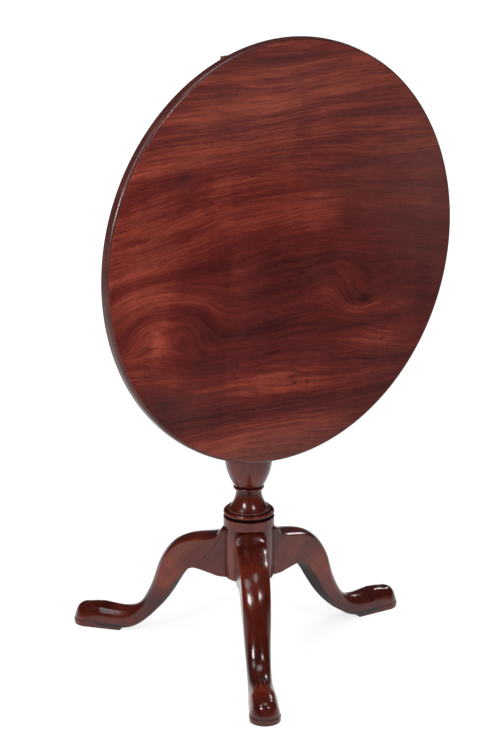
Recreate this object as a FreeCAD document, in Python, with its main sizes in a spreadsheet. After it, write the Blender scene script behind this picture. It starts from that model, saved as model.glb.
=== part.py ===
import FreeCAD, Part
import math
import os
import Sketcher
from FreeCAD import Placement, Rotation, Vector

# Tilt-top tripod table. +Z is up, the origin lies on the floor under the pillar's axis, the
# top's pivot runs along X, and the top stands upright with its polished face towards -Y.
SIZES = {
    # The whole table, with the top laid flat, and the gaps that its joints keep.
    "table_height": 711,
    "glue_gap": 0.1,
    "stop_gap": 0.3,
    "overrun": 5,
    # Round top.
    "top_radius": 366,
    "top_thick": 20,
    "face_edge_round": 6.5,
    "back_edge_round": 4,
    # Block on the pillar and the pivot pins cut on its ends.
    "pivot_setback": 76,
    "pivot_drop": 15,
    "pin_radius": 9,
    "pin_clearance": 0.05,
    "block_width": 176,
    "block_thick": 30,
    "block_bevel": 5,
    # Bearers under the top.
    "bearer_width": 23,
    "bearer_gap": 0.5,
    "bearer_depth": 35,
    "bearer_end_depth": 15,
    "bearer_deep_half": 130,
    "bearer_margin": 3.5,
    # Wood screws through the bearers.
    "bearer_screw_radius": 2.4,
    "bearer_screw_head": 4.7,
    "bearer_screw_length": 32,
    "bearer_screw_bite": 12,
    "counterbore_radius": 6,
    "screw_clearance": 0.1,
    "screw_slot_width": 1.1,
    "screw_slot_depth": 1.2,
    # Turned pillar, from its foot upwards.
    "pillar_rise": 137,
    "base_height": 96,
    "base_radius": 43.5,
    "band_height": 17,
    "band_radius": 45.3,
    "quirk_height": 6.5,
    "quirk_radius": 42.5,
    "astragal_height": 5.5,
    "astragal_radius": 45.3,
    "flange_height": 4,
    "flange_radius": 38.8,
    "bell_height": 29.5,
    "bell_radius": 34.5,
    "neck_height": 6.5,
    "neck_radius": 22.5,
    "neck_top_radius": 24.6,
    "ring_height": 4.5,
    "ring_radius": 27.4,
    "urn_foot_radius": 25.2,
    "urn_swell_height": 60.5,
    "urn_radius": 42.6,
    "urn_shoulder_height": 30,
    "urn_top_radius": 26.5,
    "collar_height": 6,
    "collar_radius": 30.5,
    "barrel_foot_radius": 27,
    "barrel_top_radius": 21.5,
    "necking_height": 9,
    "necking_radius": 26.5,
    "capital_height": 34,
    "capital_foot_radius": 21,
    "capital_radius": 37,
    "abacus_height": 6,
    "abacus_radius": 39.5,
    "tenon_radius": 20,
    # Wedge driven into the pillar's tenon.
    "wedge_thick": 4,
    "wedge_tip": 1.5,
    "wedge_depth": 24,
    "wedge_length": 38,
    # Cabriole legs and their sliding dovetails.
    "leg_reach_right": 335,
    "leg_reach_left": 342,
    "leg_reach_front": 345,
    "leg_thick": 54,
    "leg_angle_right": -0.5,
    "leg_angle_left": 122.5,
    "leg_angle_front": -122.2,
    "dovetail_neck": 14,
    "dovetail_end": 20,
    "dovetail_depth": 13,
    "dovetail_height": 78,
    "dovetail_gap": 0.15,
    # Pad foot under each leg.
    "pad_thick": 10,
    "pad_length": 102,
    "pad_heel_width": 42,
    "pad_width": 54,
    "pad_ledge": 1.5,
    "toe_height": 39.5,
    "toe_crown_radius": 6,
    # Iron strap under the pillar and the legs.
    "strap_thick": 2.5,
    "strap_reach": 62,
    "strap_width": 25,
    "strap_let_in": 1,
    "strap_screw_place": 51,
    "strap_screw_radius": 2.2,
    "strap_screw_head": 4.3,
    "strap_screw_length": 20,
    # Spring catch under the top.
    "catch_gap": 6.3,
    "catch_plate_thick": 2.5,
    "catch_plate_width": 46,
    "catch_plate_length": 62,
    "catch_case_width": 22,
    "catch_case_height": 12.5,
    "catch_case_length": 42.5,
    "catch_case_wall": 2.5,
    "bolt_width": 14,
    "bolt_thick": 7,
    "bolt_length": 36,
    "bolt_lift": 2.5,
    "bolt_nose": 4,
    "bolt_engage": 4,
    "bolt_travel": 6,
    "bolt_clearance": 0.3,
    "knob_stem_radius": 2,
    "knob_stem_place": 23,
    "knob_radius": 6.5,
    "knob_height": 9,
    "knob_waist_radius": 4,
    "spring_wire_radius": 0.45,
    "spring_radius": 2.6,
    "spring_seat_gap": 0.2,
    "catch_screw_radius": 1.7,
    "catch_screw_head": 3.3,
    "catch_screw_length": 13,
    "catch_screw_inset": 5.5,
    # Keeper let into the block's far edge.
    "keeper_width": 40,
    "keeper_height": 20,
    "keeper_thick": 1.6,
    "keeper_clearance": 0.4,
    "keeper_mortise_depth": 8,
    "keeper_screw_radius": 1.4,
    "keeper_screw_head": 2.7,
    "keeper_screw_length": 12,
    "keeper_screw_inset": 5,
}
LEG_NAMES = ("right", "left", "front")
SPRING_TURNS = 8
# Places of the screws along half a bearer, and of a curve's middle between its two ends.
BEARER_SCREW_SHARES = (-0.73, 0.12, 0.73)
BELL_SHARES = (0.70, 0.50)
URN_SWELL_SHARES = (0.76, 0.48)
URN_SHOULDER_SHARES = (0.20, 0.50)
BARREL_SHARES = (0.42, 0.50)
CAPITAL_SHARES = (0.22, 0.58)
# The leg from the pillar to its foot. Each row is one cross-section: how far out and how high
# its crown lies, how far out and how high its underside lies, its thickness, how wide and how
# high the rounding of its upper edges is, how full that rounding is, and how large the
# rounding of its lower edges is.
LEG_SHARES = (
    (0.000, 0.993, 0.000, 1.000, 1.000, 0.92, 0.065, 0.62, 0.05),
    (0.028, 0.988, 0.030, 1.000, 0.998, 0.92, 0.066, 0.62, 0.05),
    (0.042, 0.970, 0.048, 1.000, 0.996, 0.92, 0.068, 0.62, 0.05),
    (0.053, 0.943, 0.064, 1.004, 0.994, 0.92, 0.070, 0.62, 0.05),
    (0.075, 0.919, 0.088, 1.018, 0.990, 0.92, 0.076, 0.62, 0.05),
    (0.115, 0.900, 0.124, 1.036, 0.980, 0.92, 0.090, 0.62, 0.05),
    (0.186, 0.882, 0.170, 1.057, 0.965, 0.92, 0.105, 0.62, 0.05),
    (0.254, 0.863, 0.206, 1.068, 0.955, 0.92, 0.120, 0.62, 0.05),
    (0.312, 0.830, 0.239, 1.043, 0.945, 0.92, 0.140, 0.62, 0.05),
    (0.363, 0.779, 0.268, 0.982, 0.935, 0.92, 0.165, 0.62, 0.06),
    (0.405, 0.712, 0.292, 0.915, 0.925, 0.92, 0.190, 0.62, 0.07),
    (0.440, 0.631, 0.317, 0.846, 0.910, 0.91, 0.230, 0.63, 0.09),
    (0.469, 0.524, 0.347, 0.732, 0.885, 0.90, 0.300, 0.64, 0.12),
    (0.493, 0.429, 0.376, 0.618, 0.855, 0.89, 0.370, 0.66, 0.16),
    (0.524, 0.339, 0.415, 0.482, 0.820, 0.88, 0.430, 0.68, 0.20),
    (0.559, 0.260, 0.464, 0.342, 0.790, 0.87, 0.480, 0.70, 0.25),
    (0.596, 0.215, 0.522, 0.210, 0.770, 0.87, 0.520, 0.71, 0.30),
    (0.632, 0.192, 0.587, 0.096, 0.775, 0.87, 0.550, 0.71, 0.30),
    (0.674, 0.181, 0.648, 0.046, 0.810, 0.87, 0.600, 0.71, 0.20),
    (0.717, 0.179, 0.711, 0.037, 0.860, 0.87, 0.640, 0.71, 0.10),
    (0.786, 0.186, 0.786, 0.037, 0.905, 0.87, 0.680, 0.71, 0.06),
    (0.850, 0.188, 0.850, 0.037, 0.935, 0.87, 0.700, 0.72, 0.05),
)
TOE_UNDER_SHARE = 0.05
TOE_FULL_SHARE = 0.72
STRAP_MIDDLE_SHARE = 0.75
# The catch knob: where its waist and its widest ring lie up its height, how thick its stem is at
# the waist, and how its head rounds off.
KNOB_WAIST_SHARES = (0.35, 1.5)
KNOB_RING_SHARE = 0.55
KNOB_HEAD_SHARES = (0.9, 0.85)

doc = FreeCAD.newDocument("tripod_table")
sheet = doc.addObject("Spreadsheet::Sheet", "sizes")
for row, (alias, number) in enumerate(SIZES.items(), 1):
    sheet.set(f"A{row}", alias)
    sheet.set(f"B{row}", str(number))
    sheet.setAlias(f"B{row}", alias)
doc.recompute()


class Size:
    """A length read from the sheet: its number, and the same sum as an expression."""

    def __init__(self, number, text):
        self.number = number
        self.text = text

    def __add__(self, other):
        return Size(self.number + other.number, f"({self.text} + {other.text})")

    def __sub__(self, other):
        return Size(self.number - other.number, f"({self.text} - {other.text})")

    def __neg__(self):
        return Size(-self.number, f"(0 - {self.text})")

    def __mul__(self, share):
        return Size(self.number * share, f"({self.text} * {share})")

    def half(self):
        return Size(self.number / 2, f"({self.text} / 2)")


def size(alias):
    return Size(float(sheet.get(alias)), f"sizes.{alias}")


def slant(across, up):
    """The length of a line that goes across and up by these two lengths."""
    text = f"sqrt({across.text} ^ 2 + {up.text} ^ 2)"
    return Size(math.hypot(across.number, up.number), text)


def rest_of(radius, across):
    """How far a circle's edge lies along one axis, at this distance along the other."""
    text = f"sqrt({radius.text} ^ 2 - {across.text} ^ 2)"
    return Size(math.sqrt(radius.number**2 - across.number**2), text)


def between(start, end, share):
    return start + (end - start) * share


NONE = Size(0.0, "0")

# Places that several pieces share.
under_top = size("table_height") - size("top_thick")
pivot_z = under_top - size("pivot_drop")
pivot_y = -size("pivot_setback")
back_face_y = pivot_y - size("pivot_drop")
front_face_y = back_face_y - size("top_thick")
top_centre_z = pivot_z + size("pivot_setback")
block_top_z = under_top - size("stop_gap")
block_bottom_z = block_top_z - size("block_thick")
block_nose = size("pivot_drop") - size("stop_gap")
block_far_y = size("pivot_setback") + block_nose
block_half = size("block_width").half()
leg_top_z = size("pillar_rise") + size("base_height")
flat_x = rest_of(size("base_radius"), size("leg_thick").half())
bearer_x = block_half + size("bearer_gap") + size("bearer_width").half()
bearer_outer_x = bearer_x + size("bearer_width").half()
bearer_half = rest_of(size("top_radius"), bearer_outer_x) - size("bearer_margin")
block_far_tilted_z = pivot_z + block_far_y + size("pivot_setback")
case_front_z = block_far_tilted_z + size("catch_gap")
case_back_z = case_front_z + size("catch_case_length")
plate_back_y = back_face_y + size("catch_plate_thick")
bolt_low_y = plate_back_y + size("bolt_lift")
bolt_high_y = bolt_low_y + size("bolt_thick")
bolt_nose_z = block_far_tilted_z - size("bolt_engage")
bolt_tail_z = bolt_nose_z + size("bolt_length")
knob_z = bolt_nose_z + size("knob_stem_place")


def new_body(label):
    body = doc.addObject("PartDesign::Body", label)
    body.Label = label
    return body


def base_plane(body, role):
    return next(item for item in body.Origin.OriginFeatures if item.Role == role)


def new_sketch(body, name, role, along=None, across=None, up=None):
    """A sketch on one of the body's own planes, moved along the plane's normal and in it."""
    sketch = body.newObject("Sketcher::SketchObject", name)
    sketch.AttachmentSupport = [(base_plane(body, role), "")]
    sketch.MapMode = "FlatFace"
    for letter, length in (("x", across), ("y", up), ("z", along)):
        if length is not None:
            sketch.setExpression(f"AttachmentOffset.Base.{letter}", length.text)
    return sketch


def fix_point(sketch, edge, end, x, y):
    """Holds one point of the sketch at its place from the sketch's origin."""
    for kind, length in (("DistanceX", x), ("DistanceY", y)):
        rule = sketch.addConstraint(Sketcher.Constraint(kind, -1, 1, edge, end, length.number))
        sketch.setExpression(f"Constraints[{rule}]", length.text)


def point_of(corner):
    return Vector(corner[0].number, corner[1].number, 0)


def draw_outline(sketch, corners):
    """A closed outline. A corner is x, y and, where an arc leaves it, a point on that arc."""
    edges = []
    for at, corner in enumerate(corners):
        start = point_of(corner)
        end = point_of(corners[(at + 1) % len(corners)])
        if len(corner) == 2:
            edge = sketch.addGeometry(Part.LineSegment(start, end), False)
            edges.append((edge, 1, 2))
            continue
        via = point_of(corner[2:])
        circle = Part.Arc(start, via, end).toShape().Curve
        anticlockwise = (via - start).cross(end - start).z > 0
        first, last = (start, end) if anticlockwise else (end, start)
        first = first - circle.Center
        last = last - circle.Center
        low = math.atan2(first.y, first.x)
        high = math.atan2(last.y, last.x)
        if high < low:
            high = high + math.tau
        round_edge = Part.Circle(circle.Center, Vector(0, 0, 1), circle.Radius)
        edge = sketch.addGeometry(Part.ArcOfCircle(round_edge, low, high), False)
        edges.append((edge, 1, 2) if anticlockwise else (edge, 2, 1))
    for at, (edge, start, end) in enumerate(edges):
        after, after_start, after_end = edges[(at + 1) % len(edges)]
        sketch.addConstraint(Sketcher.Constraint("Coincident", edge, end, after, after_start))
        fix_point(sketch, edge, start, corners[at][0], corners[at][1])
        if len(corners[at]) > 2:
            via = sketch.addGeometry(Part.Point(point_of(corners[at][2:])), True)
            sketch.addConstraint(Sketcher.Constraint("PointOnObject", via, 1, edge))
            fix_point(sketch, via, 1, corners[at][2], corners[at][3])


def draw_box(sketch, left, right, low, high):
    draw_outline(sketch, [(left, low), (right, low), (right, high), (left, high)])


def draw_circle(sketch, x, y, radius):
    round_edge = Part.Circle(Vector(x.number, y.number, 0), Vector(0, 0, 1), radius.number)
    edge = sketch.addGeometry(round_edge, False)
    fix_point(sketch, edge, 3, x, y)
    rule = sketch.addConstraint(Sketcher.Constraint("Radius", edge, radius.number))
    sketch.setExpression(f"Constraints[{rule}]", radius.text)


def corner_round(x, y, turn_x, turn_y, radius):
    """The point in the middle of a quarter round, from the round's centre."""
    return (x + radius * (turn_x * math.sqrt(0.5)), y + radius * (turn_y * math.sqrt(0.5)))


def extrude(body, kind, name, sketch, length, reverse=False, middle=False):
    """A pad or a pocket, compared with the solid that it adds to or cuts."""
    doc.recompute()
    before = body.Tip.Shape.Volume if body.Tip else 0
    feature = body.newObject(f"PartDesign::{kind}", name)
    feature.Profile = sketch
    feature.Reversed = reverse
    if middle:
        feature.SideType = "Symmetric"
    feature.setExpression("Length", length.text)
    compare(body, feature, before, kind == "Pad")
    return feature


def revolve(body, kind, name, sketch, axis):
    """A turned solid or a turned groove about one of the sketch's own axes."""
    doc.recompute()
    before = body.Tip.Shape.Volume if body.Tip else 0
    feature = body.newObject(f"PartDesign::{kind}", name)
    feature.Profile = sketch
    feature.ReferenceAxis = (sketch, [axis])
    compare(body, feature, before, kind == "Revolution")
    return feature


def drill(body, name, sketch, screw, length, reverse=False, sunk=True):
    """Round holes for a screw, with room for its cone-shaped head where it is sunk."""
    doc.recompute()
    before = body.Tip.Shape.Volume
    clearance = size("screw_clearance")
    bore = (size(f"{screw}_radius") + clearance) * 2
    mouth = (size(f"{screw}_head") + clearance) * 2
    feature = body.newObject("PartDesign::Hole", name)
    feature.Profile = sketch
    feature.Reversed = reverse
    feature.DepthType = "Dimension"
    feature.DrillPoint = "Flat"
    feature.Diameter = bore.number
    feature.Depth = length.number
    if sunk:
        feature.HoleCutType = "Countersink"
        feature.HoleCutCustomValues = True
        feature.HoleCutDiameter = mouth.number
        feature.HoleCutCountersinkAngle = 90
        feature.setExpression("HoleCutDiameter", mouth.text)
    feature.setExpression("Diameter", bore.text)
    feature.setExpression("Depth", length.text)
    compare(body, feature, before, False)
    return feature


def compare(body, feature, before, adds):
    doc.recompute()
    change = feature.Shape.Volume - before
    if change == 0 or (change > 0) != adds:
        raise ValueError(f"{body.Label}: {feature.Name} changes the volume by {change}")


def screw_shape(screw):
    """A screw along Z: the face of its cone-shaped head at the origin, its point below."""
    radius = size(f"{screw}_radius").number
    head = size(f"{screw}_head").number
    length = size(f"{screw}_length").number
    half = [
        Vector(0, 0, -length),
        Vector(radius, 0, radius - length),
        Vector(radius, 0, radius - head),
        Vector(head, 0, 0),
        Vector(0, 0, 0),
    ]
    outline = Part.Face(Part.makePolygon(half + half[:1]))
    solid = outline.revolve(Vector(0, 0, 0), Vector(0, 0, 1), 360)
    width = size("screw_slot_width").number
    depth = size("screw_slot_depth").number
    corner = Vector(-head, -width / 2, -depth)
    return solid.cut(Part.makeBox(head * 2, width, depth * 2, corner))


def screw_group(label, screw, look, places):
    """Like screws as one node. Their heads look one way and lie at these places."""
    screws = []
    for place in places:
        solid = screw_shape(screw)
        solid.Placement = Placement(place, Rotation(Vector(0, 0, 1), look))
        screws.append(solid)
    group = doc.addObject("Part::Feature", label)
    group.Label = label
    group.Shape = Part.makeCompound(screws)
    return group


def catch_screw_places():
    half = size("catch_plate_width").half() - size("catch_screw_inset")
    low = case_front_z + size("catch_screw_inset")
    high = case_front_z + size("catch_plate_length") - size("catch_screw_inset")
    return [(-half, low), (half, low), (half, high), (-half, high)]


def bearer_screw_places(side):
    return [(bearer_x * side, top_centre_z + bearer_half * share) for share in BEARER_SCREW_SHARES]


def keeper_screw_places():
    half = size("keeper_width").half() - size("keeper_screw_inset")
    middle = block_top_z - size("keeper_height").half()
    return [(-half, middle), (half, middle)]


def circles_at(body, name, role, along, places, radius):
    sketch = new_sketch(body, name, role, along)
    for x, y in places:
        draw_circle(sketch, x, y, radius)
    return sketch


def build_table_top():
    """One round board, turned about its own centre, with its screws' holes in its back."""
    body = new_body("table_top")
    radius = size("top_radius")
    face_round = size("face_edge_round")
    back_round = size("back_edge_round")
    half = new_sketch(body, "board_half", "YZ_Plane", up=top_centre_z)
    draw_outline(half, [
        (front_face_y, NONE),
        (front_face_y, radius - face_round)
        + corner_round(front_face_y + face_round, radius - face_round, -1, 1, face_round),
        (front_face_y + face_round, radius),
        (back_face_y - back_round, radius)
        + corner_round(back_face_y - back_round, radius - back_round, 1, 1, back_round),
        (back_face_y, radius - back_round),
        (back_face_y, NONE),
    ])
    revolve(body, "Revolution", "board", half, "H_Axis")
    clearance = size("screw_clearance")
    places = bearer_screw_places(-1) + bearer_screw_places(1)
    bores = circles_at(body, "bearer_screw_circles", "XZ_Plane", -back_face_y, places,
                       size("bearer_screw_radius"))
    drill(body, "bearer_screw_holes", bores, "bearer_screw",
          size("bearer_screw_bite") + clearance, reverse=True, sunk=False)
    bores = circles_at(body, "catch_screw_circles", "XZ_Plane", -back_face_y,
                       catch_screw_places(), size("catch_screw_radius"))
    drill(body, "catch_screw_holes", bores, "catch_screw",
          size("catch_screw_length") - size("catch_plate_thick") + clearance,
          reverse=True, sunk=False)
    return body


def build_bearer(label, side):
    """A bearer: deep in the middle, where the pin turns in it, and thin at both ends."""
    body = new_body(label)
    thin_y = back_face_y + size("bearer_end_depth")
    deep_y = back_face_y + size("bearer_depth")
    low = top_centre_z - bearer_half
    high = top_centre_z + bearer_half
    profile = new_sketch(body, "side", "YZ_Plane", bearer_x * side)
    draw_outline(profile, [
        (back_face_y, low),
        (thin_y, low),
        (deep_y, top_centre_z - size("bearer_deep_half")),
        (deep_y, top_centre_z + size("bearer_deep_half")),
        (thin_y, high),
        (back_face_y, high),
    ])
    extrude(body, "Pad", "bearer", profile, size("bearer_width"), middle=True)
    hole = circles_at(body, "pin_circle", "YZ_Plane", bearer_x * side, [(pivot_y, pivot_z)],
                      size("pin_radius") + size("pin_clearance"))
    extrude(body, "Pocket", "pin_hole", hole, size("bearer_width") * 2, middle=True)
    head_y = back_face_y + size("bearer_screw_length") - size("bearer_screw_bite")
    places = bearer_screw_places(side)
    wells = circles_at(body, "well_circles", "XZ_Plane", -head_y, places,
                       size("counterbore_radius"))
    extrude(body, "Pocket", "screw_wells", wells, size("bearer_depth"))
    bores = circles_at(body, "screw_circles", "XZ_Plane", -head_y, places,
                       size("bearer_screw_radius"))
    drill(body, "screw_holes", bores, "bearer_screw", size("bearer_depth"), reverse=True)
    return body


def build_block():
    """The block on the pillar. Its upper front corner is round about the pivot's axis."""
    body = new_body("top_block")
    bevel = size("block_bevel")
    nose_y = pivot_y - block_nose
    side = new_sketch(body, "side", "YZ_Plane")
    draw_outline(side, [
        (nose_y, block_bottom_z + bevel),
        (nose_y, pivot_z) + corner_round(pivot_y, pivot_z, -1, 1, block_nose),
        (pivot_y, block_top_z),
        (block_far_y, block_top_z),
        (block_far_y, block_bottom_z + bevel),
        (block_far_y - bevel, block_bottom_z),
        (nose_y + bevel, block_bottom_z),
    ])
    extrude(body, "Pad", "slab", side, size("block_width"), middle=True)
    pin_length = size("bearer_gap") + size("bearer_width")
    for name, end, reverse in (("right_pin", block_half, False), ("left_pin", -block_half, True)):
        circle = circles_at(body, f"{name}_circle", "YZ_Plane", end, [(pivot_y, pivot_z)],
                            size("pin_radius"))
        extrude(body, "Pad", name, circle, pin_length, reverse)
    mortise = circles_at(body, "mortise_circle", "XY_Plane", block_top_z, [(NONE, NONE)],
                         size("tenon_radius") + size("glue_gap"))
    extrude(body, "Pocket", "mortise", mortise, size("block_thick") + size("overrun"))
    seat = new_sketch(body, "keeper_box", "XZ_Plane", -block_far_y)
    half = size("keeper_width").half() + size("glue_gap")
    draw_box(seat, -half, half, block_top_z - size("keeper_height") - size("glue_gap"),
             block_top_z + size("overrun"))
    extrude(body, "Pocket", "keeper_seat", seat, size("keeper_thick"), reverse=True)
    slot = new_sketch(body, "bolt_slot_box", "XZ_Plane", -block_far_y)
    draw_box(slot, *keeper_slot())
    extrude(body, "Pocket", "bolt_slot", slot, size("keeper_mortise_depth"), reverse=True)
    bores = circles_at(body, "keeper_screw_circles", "XZ_Plane", -block_far_y,
                       keeper_screw_places(), size("keeper_screw_radius"))
    drill(body, "keeper_screw_holes", bores, "keeper_screw",
          size("keeper_screw_length") + size("screw_clearance"), reverse=True, sunk=False)
    return body


def keeper_slot():
    """The slot that the bolt enters when the top lies flat: left, right, low, high."""
    clearance = size("keeper_clearance")
    half = size("bolt_width").half() + clearance
    middle_drop = bolt_low_y - back_face_y
    high = under_top - middle_drop + clearance
    return (-half, half, high - size("bolt_thick") - clearance * 2, high)


def build_pillar():
    """The turned pillar: base, band, bell, urn, tapered barrel, capital and round tenon."""
    body = new_body("pillar")
    band_z = leg_top_z
    quirk_z = band_z + size("band_height")
    astragal_z = quirk_z + size("quirk_height")
    flange_z = astragal_z + size("astragal_height")
    bell_z = flange_z + size("flange_height")
    neck_z = bell_z + size("bell_height")
    ring_z = neck_z + size("neck_height")
    urn_z = ring_z + size("ring_height")
    shoulder_z = urn_z + size("urn_swell_height")
    collar_z = shoulder_z + size("urn_shoulder_height")
    barrel_z = collar_z + size("collar_height")
    abacus_z = block_bottom_z - size("abacus_height")
    capital_z = abacus_z - size("capital_height")
    necking_z = capital_z - size("necking_height")

    def curve(low, low_z, high, high_z, shares):
        across, up = shares
        return (low, low_z, between(low, high, across), between(low_z, high_z, up))

    def bead(low, low_z, swell, high_z):
        return (low, low_z, swell, between(low_z, high_z, 0.5))

    half = new_sketch(body, "pillar_half", "XZ_Plane")
    draw_outline(half, [
        (NONE, size("pillar_rise")),
        (size("base_radius"), size("pillar_rise")),
        (size("base_radius"), band_z),
        (size("band_radius"), band_z),
        (size("band_radius"), quirk_z),
        (size("quirk_radius"), quirk_z),
        bead(size("quirk_radius"), astragal_z, size("astragal_radius"), flange_z),
        (size("quirk_radius"), flange_z),
        (size("flange_radius"), flange_z),
        (size("flange_radius"), bell_z),
        curve(size("bell_radius"), bell_z, size("neck_radius"), neck_z, BELL_SHARES),
        (size("neck_radius"), neck_z),
        bead(size("neck_top_radius"), ring_z, size("ring_radius"), urn_z),
        curve(size("urn_foot_radius"), urn_z, size("urn_radius"), shoulder_z, URN_SWELL_SHARES),
        curve(size("urn_radius"), shoulder_z, size("urn_top_radius"), collar_z,
              URN_SHOULDER_SHARES),
        bead(size("urn_top_radius"), collar_z, size("collar_radius"), barrel_z),
        curve(size("barrel_foot_radius"), barrel_z, size("barrel_top_radius"), necking_z,
              BARREL_SHARES),
        bead(size("barrel_top_radius"), necking_z, size("necking_radius"), capital_z),
        curve(size("capital_foot_radius"), capital_z, size("capital_radius"), abacus_z,
              CAPITAL_SHARES),
        (size("capital_radius"), abacus_z),
        (size("abacus_radius"), abacus_z),
        (size("abacus_radius"), block_bottom_z),
        (size("tenon_radius"), block_bottom_z),
        (size("tenon_radius"), block_top_z),
        (NONE, block_top_z),
    ])
    revolve(body, "Revolution", "turning", half, "V_Axis")
    far = size("base_radius") + size("overrun")
    wide = size("leg_thick").half() + size("overrun")
    for leg in LEG_NAMES:
        flat = new_sketch(body, f"{leg}_flat_box", "XY_Plane", leg_top_z)
        turn_sketch(flat, leg)
        draw_box(flat, flat_x, far, -wide, wide)
        extrude(body, "Pocket", f"{leg}_flat", flat, size("base_height") + size("overrun"))
        socket = new_sketch(body, f"{leg}_socket_outline", "XY_Plane",
                            size("pillar_rise") + size("dovetail_height"))
        turn_sketch(socket, leg)
        draw_dovetail(socket, size("dovetail_gap"), far)
        extrude(body, "Pocket", f"{leg}_socket", socket,
                size("dovetail_height") + size("overrun"))
    kerf = new_sketch(body, "kerf_outline", "YZ_Plane")
    draw_wedge(kerf, size("glue_gap"), size("overrun"))
    extrude(body, "Pocket", "kerf", kerf, size("tenon_radius") * 2 + size("overrun"),
            middle=True)
    bore = circles_at(body, "strap_screw_circle", "XY_Plane", size("pillar_rise"),
                      [(NONE, NONE)], size("strap_screw_radius"))
    drill(body, "strap_screw_hole", bore, "strap_screw", strap_screw_bite(), reverse=True,
          sunk=False)
    return body


def strap_screw_bite():
    return size("strap_screw_length") - size("strap_thick") + size("screw_clearance")


def turn_sketch(sketch, leg):
    """Turns a sketch that lies flat to the leg's own direction."""
    sketch.AttachmentOffset = Placement(sketch.AttachmentOffset.Base,
                                        Rotation(Vector(0, 0, 1), 1))
    sketch.setExpression("AttachmentOffset.Rotation.Angle", size(f"leg_angle_{leg}").text)


def draw_dovetail(sketch, gap, far):
    """A dovetail in plan: its wide end lies inside the pillar, its neck runs out to far."""
    neck = size("dovetail_neck").half() + gap
    wide = size("dovetail_end").half() + gap
    end_x = flat_x - size("dovetail_depth") - gap
    draw_outline(sketch, [
        (end_x, -wide),
        (flat_x, -neck),
        (far, -neck),
        (far, neck),
        (flat_x, neck),
        (end_x, wide),
    ])


def draw_wedge(sketch, gap, over):
    """The wedge's side, thick at the tenon's top. The kerf around it is wider by the gap."""
    thick = size("wedge_thick").half() + gap
    tip = size("wedge_tip").half() + gap
    draw_outline(sketch, [
        (-tip, block_top_z - size("wedge_depth") - gap),
        (tip, block_top_z - size("wedge_depth") - gap),
        (thick, block_top_z),
        (thick, block_top_z + over),
        (-thick, block_top_z + over),
        (-thick, block_top_z),
    ])


def build_wedge():
    body = new_body("tenon_wedge")
    side = new_sketch(body, "side", "YZ_Plane")
    thick = size("wedge_thick").half()
    tip = size("wedge_tip").half()
    low = block_top_z - size("wedge_depth")
    draw_outline(side, [(-tip, low), (tip, low), (thick, block_top_z), (-thick, block_top_z)])
    extrude(body, "Pad", "wedge", side, size("wedge_length"), middle=True)
    return body


def leg_section(body, name, crown, under, thick, edge, full, under_edge):
    """A cross-section of the leg between a point on its crown and one on its underside."""
    sketch = new_sketch(body, name, "YZ_Plane")
    out = crown[0] - under[0]
    rise = crown[1] - under[1]
    angle = math.degrees(math.atan2(out.number, rise.number))
    middle_x = between(under[0], crown[0], 0.5)
    middle_z = between(under[1], crown[1], 0.5)
    sketch.AttachmentOffset = Placement(Vector(0, middle_z.number, middle_x.number),
                                        Rotation(Vector(1, 0, 0), angle or 1))
    sketch.setExpression("AttachmentOffset.Base.y", middle_z.text)
    sketch.setExpression("AttachmentOffset.Base.z", middle_x.text)
    sketch.setExpression("AttachmentOffset.Rotation.Angle", f"atan2({out.text}; {rise.text})")
    high = slant(out, rise).half()
    wide = thick.half()
    edge_wide, edge_high = edge
    top_x = wide - edge_wide
    top_y = high - edge_high
    low_x = wide - under_edge
    low_y = -high + under_edge
    via_top = (top_x + edge_wide * full, top_y + edge_high * full)
    via_low = corner_round(low_x, low_y, 1, -1, under_edge)
    draw_outline(sketch, [
        (-low_x, -high),
        (low_x, -high) + via_low,
        (wide, low_y),
        (wide, top_y) + via_top,
        (top_x, high),
        (-top_x, high, -via_top[0], via_top[1]),
        (-wide, top_y),
        (-wide, low_y, -via_low[0], via_low[1]),
    ])
    return sketch


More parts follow.
